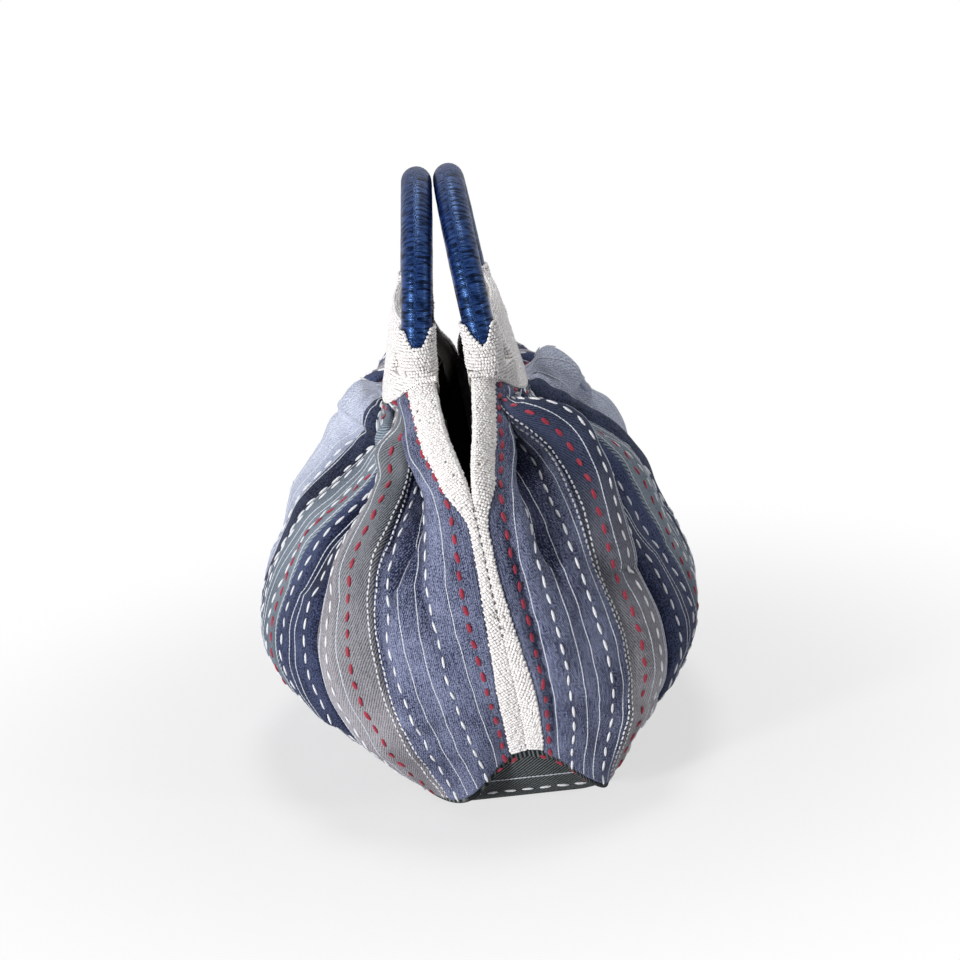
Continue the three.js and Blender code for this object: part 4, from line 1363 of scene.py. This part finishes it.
def sleeve_rim(sign, end):
    """The beads round a sleeve's mouth: a round row, one squared off beside the wall as the sleeve is,
    and a short one inside that corner."""
    count = round(2 * math.pi * RIM_RADIUS / BEAD_COLUMN * 1.3)
    turns = np.linspace(-math.pi, math.pi, count, endpoint=False)
    corner = turns[(turns > 0.56 * math.pi) & (turns < 0.94 * math.pi)]
    rows = []
    for turn, inset, squared in ((turns, 0.25, False), (turns, 0.25, True), (corner, 1.6, True)):
        radius = RIM_RADIUS - inset
        line = sleeve_point(turn, sleeve_top(turn) - 0.3, radius, sign, end, squared)
        facing = np.stack([np.cos(turn) * end, np.sin(turn) * sign, 1 + 0 * turn], -1)
        rows.append((line, unit(facing), unit(np.gradient(line, axis=0))))
    return joined(rows)


def yokes_and_sleeves():
    """Each side's yoke with its lined inner face, and its two sleeves."""
    seed = 60
    for side_name, sign in SIDES.items():
        skin = joined_skin(sign)
        core, inner = yoke_slab(side_name + "_yoke_core", sign, CORE_FACE)
        finished(tucked(core, skin, BEAD_BED), BACKING, "bag", slot="white_beads")
        inward = np.array([0, sign, 0])
        lined = slab(side_name + "_yoke_facing", inner - 0.1 * inward, inner - 0.9 * inward, sign < 0)
        finished(lined, FACING, "bag", slot="lining_cotton")
        points, facing, along, on_sleeve = beaded_places(skin, sign)
        on_wall = [v[~on_sleeve] for v in (points, facing, along)]
        beads = beadwork(side_name + "_yoke_beads", *joined([on_wall, trim_rows(sign)]), seed)
        finished(beads, None, "bag", side_name + "_yoke", slot="white_beads")
        still, turning = ((0, 0, (HINGE_HEIGHT + rise) * MM) for rise in (-16, 1))
        bend = ("bag", side_name + "_handle", still, turning)
        for end_name, end in ENDS.items():
            seed += 1
            node = f"{side_name}_{end_name}_sleeve"
            here = on_sleeve & (points[:, 0] * end > 0)
            parts = joined([[v[here] for v in (points, facing, along)], sleeve_rim(sign, end)])
            finished(beadwork(node + "_beads", *parts, seed), None, bend, node, slot="white_beads")
            core = sleeve_rings(node + "_core", sign, end, 0.4, True)
            finished(tucked(core, skin, BEAD_BED), BACKING, bend, slot="white_beads")
        seed += 1


# Handles

def arch_line(s):
    """The handle's middle line at the distances s along it, and its outward side, in the arch's own
    plane: X along the bag and Z up from the tips."""
    radius = HANDLE_SPAN / 2
    straight = HANDLE_RISE - radius
    arc = math.pi * radius
    turn = np.clip((s - straight) / radius, 0, math.pi)
    past = np.maximum(0, s - straight - arc)
    rise = np.minimum(s, straight) - past
    x = radius * np.cos(turn)
    z = radius * np.sin(turn) + rise
    outward = np.stack([np.cos(turn), 0 * turn, np.sin(turn)], -1)
    return np.stack([x, 0 * x, z], -1), outward


def winding(side_name):
    """A tube with the grooves of one thread wound round and round it, open at both ends."""
    sign = SIDES[side_name]
    length = math.pi * HANDLE_SPAN / 2 + 2 * (HANDLE_RISE - HANDLE_SPAN / 2)
    n = 26  # points round the tube
    turns = np.linspace(0, 2 * math.pi, n, endpoint=False)
    outer_s = np.linspace(0, length, round(length / WRAP_PITCH * 4))
    all_s = np.concatenate([outer_s, np.linspace(length, 0, 80)])
    fold = np.ones((len(all_s), n))
    radius = np.full((len(all_s), n), BORE_RADIUS)
    s, outside = outer_s[:, None], slice(len(outer_s))
    # fold shapes the grooves and also darkens them in the satin's colour: painted shade.
    fold[outside] = np.abs(np.sin(math.pi * s / WRAP_PITCH + turns / 2))
    uneven = 0.08 * soft_noise(s / 5, turns[None, :] / 1.5, 5)
    radius[outside] = WRAP_RADIUS - WRAP_GROOVE * (1 - fold[outside]) + uneven - 0.05
    centre, outward = arch_line(all_s)
    side = np.cos(turns)[None, :, None] * outward[:, None, :]
    cross = np.sin(turns)[None, :, None] * np.array([0, 1.0, 0])
    points = (centre[:, None, :] + radius[..., None] * (side + cross)).reshape(-1, 3)
    faces = grid_faces(len(all_s), n, 0, False, True)
    last = (len(all_s) - 1) * n
    faces += [[last + j, j, (j + 1) % n, last + (j + 1) % n] for j in range(n)]
    uv = np.stack([np.repeat(all_s, n), np.tile(turns * WRAP_RADIUS, len(all_s))], -1)
    lean = sign * LEAN
    y, z = points[:, 1].copy(), points[:, 2].copy()
    points[:, 1] = y * math.cos(lean) - z * math.sin(lean) + sign * HINGE_DEPTH
    points[:, 2] = y * math.sin(lean) + z * math.cos(lean) + HINGE_HEIGHT
    obj = mesh_piece(side_name + "_winding_thread", points, faces, uv, fold.ravel())
    finished(obj, SATIN, side_name + "_handle", side_name + "_handle_winding", slot="blue_thread")


def handles():
    """The windings, and the look of the cores inside them, which keep the solids' shape."""
    for side_name in SIDES:
        winding(side_name)
        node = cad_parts[side_name + "_handle_core"]
        node.data.materials.clear()
        node.data.materials.append(HANDLE_CORE)


# Base

def base_points(along, across, inset, lift):
    """A place on the base: along and across run from 0 to 1 from its near left corner."""
    a = 1 - 2 * along
    w = 1 - 2 * across
    seam = even_points(a, 0 * a + 1)
    half_width = np.maximum(0.4, seam[..., 1] - inset + BASE_TUCK)
    past_flat = np.maximum(0, np.abs(seam[..., 0]) - BASE_FLAT_HALF_LENGTH)
    reach = past_flat / (BASE_HALF_LENGTH - BASE_FLAT_HALF_LENGTH)
    ridge = (BASE_END - 2 * inset) * reach**BASE_RIDGE_POWER
    turn_up = (np.maximum(0, np.abs(w) - BASE_FLAT_SHARE) / (1 - BASE_FLAT_SHARE)) ** BASE_TURN_POWER
    height = mix(ridge, np.maximum(0, seam[..., 2] - 2 * inset), turn_up)
    reach_x = seam[..., 0] * (1 - (inset - BASE_TUCK) / BASE_HALF_LENGTH)
    points = np.stack([reach_x, half_width * w, height + lift], -1)
    return swayed(points, 1)


def base():
    """The base's cloth, which reaches under the sides' hems and rises inside at its ends."""
    inset = SEAM_GAP + CLOTH_THICKNESS / 2 - 0.15
    along, across = np.meshgrid(*(np.linspace(0, 1, count) for count in (141, 49)), indexing="ij")
    outer = base_points(along, across, inset, 0.0)
    lip = BASE_LIP * smooth((np.abs(1 - 2 * along) - 0.94) / 0.035)
    inner = base_points(along, across, inset, BASE_THICKNESS + lip)
    obj = slab("base_cloth", outer, inner, True, outer[..., :2], np.full(along.shape, 0.3))
    finished(obj, CLOTHS["base_twill"], "bag", "base_panel", slot="base_twill")


# Shares of the base's length, from either end: how far the red stitches run along its seams, and
# where the two lines that cross it lie
SEAM_SHOWN = 0.15
NEAR_LINE = 0.125
INNER_LINE = 0.165
SEAM_PITCH = 8.6


def base_line(along, across):
    """A line of stitches on the underside of the base."""
    inset = SEAM_GAP + CLOTH_THICKNESS / 2
    here = base_points(along, across, inset, 0.0)
    onward = base_points(along + 0.003, across, inset, 0.0) - here
    sideways = base_points(along, across + 0.003, inset, 0.0) - here
    normal = unit(np.cross(onward, sideways))
    normal *= -np.sign(normal[..., 2:])
    return here + normal * 0.4, normal


def base_stitches():
    """Red stitches along the base seam at both ends, and two lines further in."""
    seams, near_lines, inner_lines = [], [], []
    for tip in (0.003, 0.997):
        inward = 1 if tip < 0.5 else -1
        for edge in (0.03, 0.967):
            along = np.linspace(tip, tip + SEAM_SHOWN * inward, 60)
            seams.append(base_line(along, 0 * along + edge))
        across = np.linspace(0.06, 0.94, 120)
        near_lines.append(base_line(0 * across + tip + NEAR_LINE * inward, across))
        inner_lines.append(base_line(0 * across + tip + INNER_LINE * inward, across))
    stitches("base_red_stitches", seams, red_shape, SEAM_PITCH, RED_THREAD, 70, 0.2)
    stitches("base_fine_stitches", near_lines, fine_shape, FINE_PITCH, FINE_THREAD, 71, 0.05)
    stitches("base_white_stitches", inner_lines, white_shape, STITCH_PITCH, WHITE_THREAD, 72, 0.08)


# Lining

def lining():
    """The two sides of the lining, which clear the deepest valley of their row, and its floor."""
    folds_out = np.minimum(sides["front"].fold_out, sides["back"].fold_out)
    near = 14  # rows on either side that it also clears
    deepest = [-folds_out[max(0, i - near): i + near + 1].min() for i in range(len(ROWS_T))]
    rows = mix(0.02, 0.94, np.linspace(0, 1, 60) ** 1.3)
    a = LINING_REACH * np.linspace(1, -1, 121)
    grid_t, grid_a = np.meshgrid(rows, a, indexing="ij")
    from_edge = 1 - np.abs(grid_a)
    deep = np.interp(grid_t, ROWS_T, deepest)
    clearance = mix(SEAM_GAP, LINING_CLEARANCE, smooth(from_edge / 0.1))
    inset = EDGING_THICKNESS / 2 + clearance + deep * smooth(from_edge / 0.2)
    ripple = 0.8 * soft_noise(grid_a * 14, grid_t * 7, 9) * smooth(from_edge / 0.1)
    even, normal = even_points(grid_a, grid_t), even_normals(grid_a, grid_t)

    def skin(lift):
        p = even - normal * (inset + lift + ripple)[..., None]
        p[..., 1] = np.maximum(p[..., 1], LINING_CLEARANCE - lift)
        return p

    for side_name, sign in SIDES.items():
        outer, inner = swayed(skin(0.0), sign), swayed(skin(LINING_THICKNESS), sign)
        obj = slab(side_name + "_lining_cloth", outer, inner, sign < 0)
        finished(obj, LINING, "bag", "lining_" + side_name, slot="lining_cotton")
    inset = SEAM_GAP + CLOTH_THICKNESS / 2
    along, across = np.meshgrid(*(np.linspace(0.14, 0.86, count) for count in (81, 31)), indexing="ij")
    lift = BASE_THICKNESS + FLOOR_CLEARANCE
    outer = base_points(along, across, inset, lift)
    inner = base_points(along, across, inset, lift + LINING_THICKNESS)
    obj = slab("lining_floor", outer, inner, True)
    finished(obj, LINING, "bag", "lining_base", slot="lining_cotton")


# Camera, light and floor

def camera():
    """The photograph's view: from the near end, a little above, and rolled."""
    elevation, roll, distance = math.radians(16.6), math.radians(6.2), 1.6
    scale, picture = 1670, 960  # pixels for each metre at the aim, and pixels across the picture
    aim = Vector((0, 0, 0.15))
    back = Vector((math.cos(elevation), 0, math.sin(elevation)))
    right = Vector((0, 1, 0))
    up = back.cross(right)
    rolled_right = right * math.cos(roll) - up * math.sin(roll)
    rolled_up = right * math.sin(roll) + up * math.cos(roll)
    centre = aim + rolled_right * (14 / scale) + rolled_up * (7 / scale)
    data = bpy.data.cameras.new("camera")
    data.sensor_width = 36
    data.lens = data.sensor_width * scale * distance / picture
    data.clip_end = 20
    obj = new_object("camera", data)
    turned = Matrix((rolled_right, rolled_up, back)).transposed().to_4x4()
    turned.translation = centre + back * distance
    obj.matrix_world = turned
    bpy.context.scene.camera = obj


def lamp(name, place, aim, size, power):
    """A round lamp that looks at its aim, its size in metres and its power in watts."""
    data = bpy.data.lights.new(name, "AREA")
    data.shape = "DISK"
    data.size = size
    data.energy = power
    obj = new_object(name, data)
    obj.location = place
    obj.rotation_euler = (Vector(place) - Vector(aim)).to_track_quat("Z", "Y").to_euler()


def studio():
    """The lamps, the faint light of the room and the white that the camera sees instead of it."""
    lamp("left_light", (1.35, -1.4, 0.4), (0, 0, 0.15), 0.38, 36)
    lamp("right_light", (1.0, 1.5, 0.5), (0, 0, 0.12), 0.2, 5)
    lamp("top_light", (-0.2, 0.1, 1.8), (0, 0, 0.15), 0.6, 12)
    world = bpy.data.worlds.new("world")
    bpy.context.scene.world = world
    world.use_nodes = True
    n = Tree(world.node_tree)
    background = n.tree.nodes["Background"]
    background.inputs["Color"].default_value = (0.92, 0.95, 1.0, 1)
    background.inputs["Strength"].default_value = 0.1
    white = n.add("ShaderNodeBackground", {"Color": (1, 1, 1, 1), "Strength": 1.0})
    inputs = {0: camera_or_mirror(n), 1: background.outputs[0], 2: white.outputs[0]}
    chosen = n.add("ShaderNodeMixShader", inputs)
    n.put(n.tree.nodes["World Output"].inputs["Surface"], chosen.outputs[0])
    floor()
    bpy.context.scene.view_settings.view_transform = "Standard"


def camera_or_mirror(n):
    """1 for rays from the camera and for those that glass or metal sends on."""
    path = n.add("ShaderNodeLightPath").outputs
    mirrored = n.math("MAXIMUM", path["Is Camera Ray"], path["Is Glossy Ray"])
    return n.math("MAXIMUM", mirrored, path["Is Transmission Ray"])


def floor():
    """A pale floor that keeps the object's shadow and turns into the white backdrop away from it."""
    half = 4000
    points = [(-half, -half, 0), (half, -half, 0), (half, half, 0), (-half, half, 0)]
    obj = mesh_piece("floor", np.array(points, float) - [0, 0, 0.2], [[0, 1, 2, 3]])
    n = Material("pale_floor", Roughness=0.9, Specular_IOR_Level=0.0)
    n.finish((0.86, 0.86, 0.87, 1))
    place = n.add("ShaderNodeTexCoord").outputs["Object"]
    away = n.add("ShaderNodeVectorMath", {0: place}, operation="LENGTH").outputs["Value"]
    fade = n.spread(away, 0.12, 0.46, 0.66, 1.0, interpolation_type="SMOOTHSTEP")
    shown = n.math("MULTIPLY", fade, camera_or_mirror(n))
    white = n.add("ShaderNodeEmission", {"Color": (1, 1, 1, 1), "Strength": 1.0})
    chosen = n.add("ShaderNodeMixShader", {0: shown, 1: n.shader.outputs[0], 2: white.outputs[0]})
    n.put(n.tree.nodes["Material Output"].inputs["Surface"], chosen.outputs[0])
    obj.data.materials.append(n.material)


camera()
patches()
cloth_stitches()
edgings()
band_seams()
yokes_and_sleeves()
handles()
base()
base_stitches()
lining()
studio()
for shape in SHAPES:
    bpy.data.objects.remove(shape)
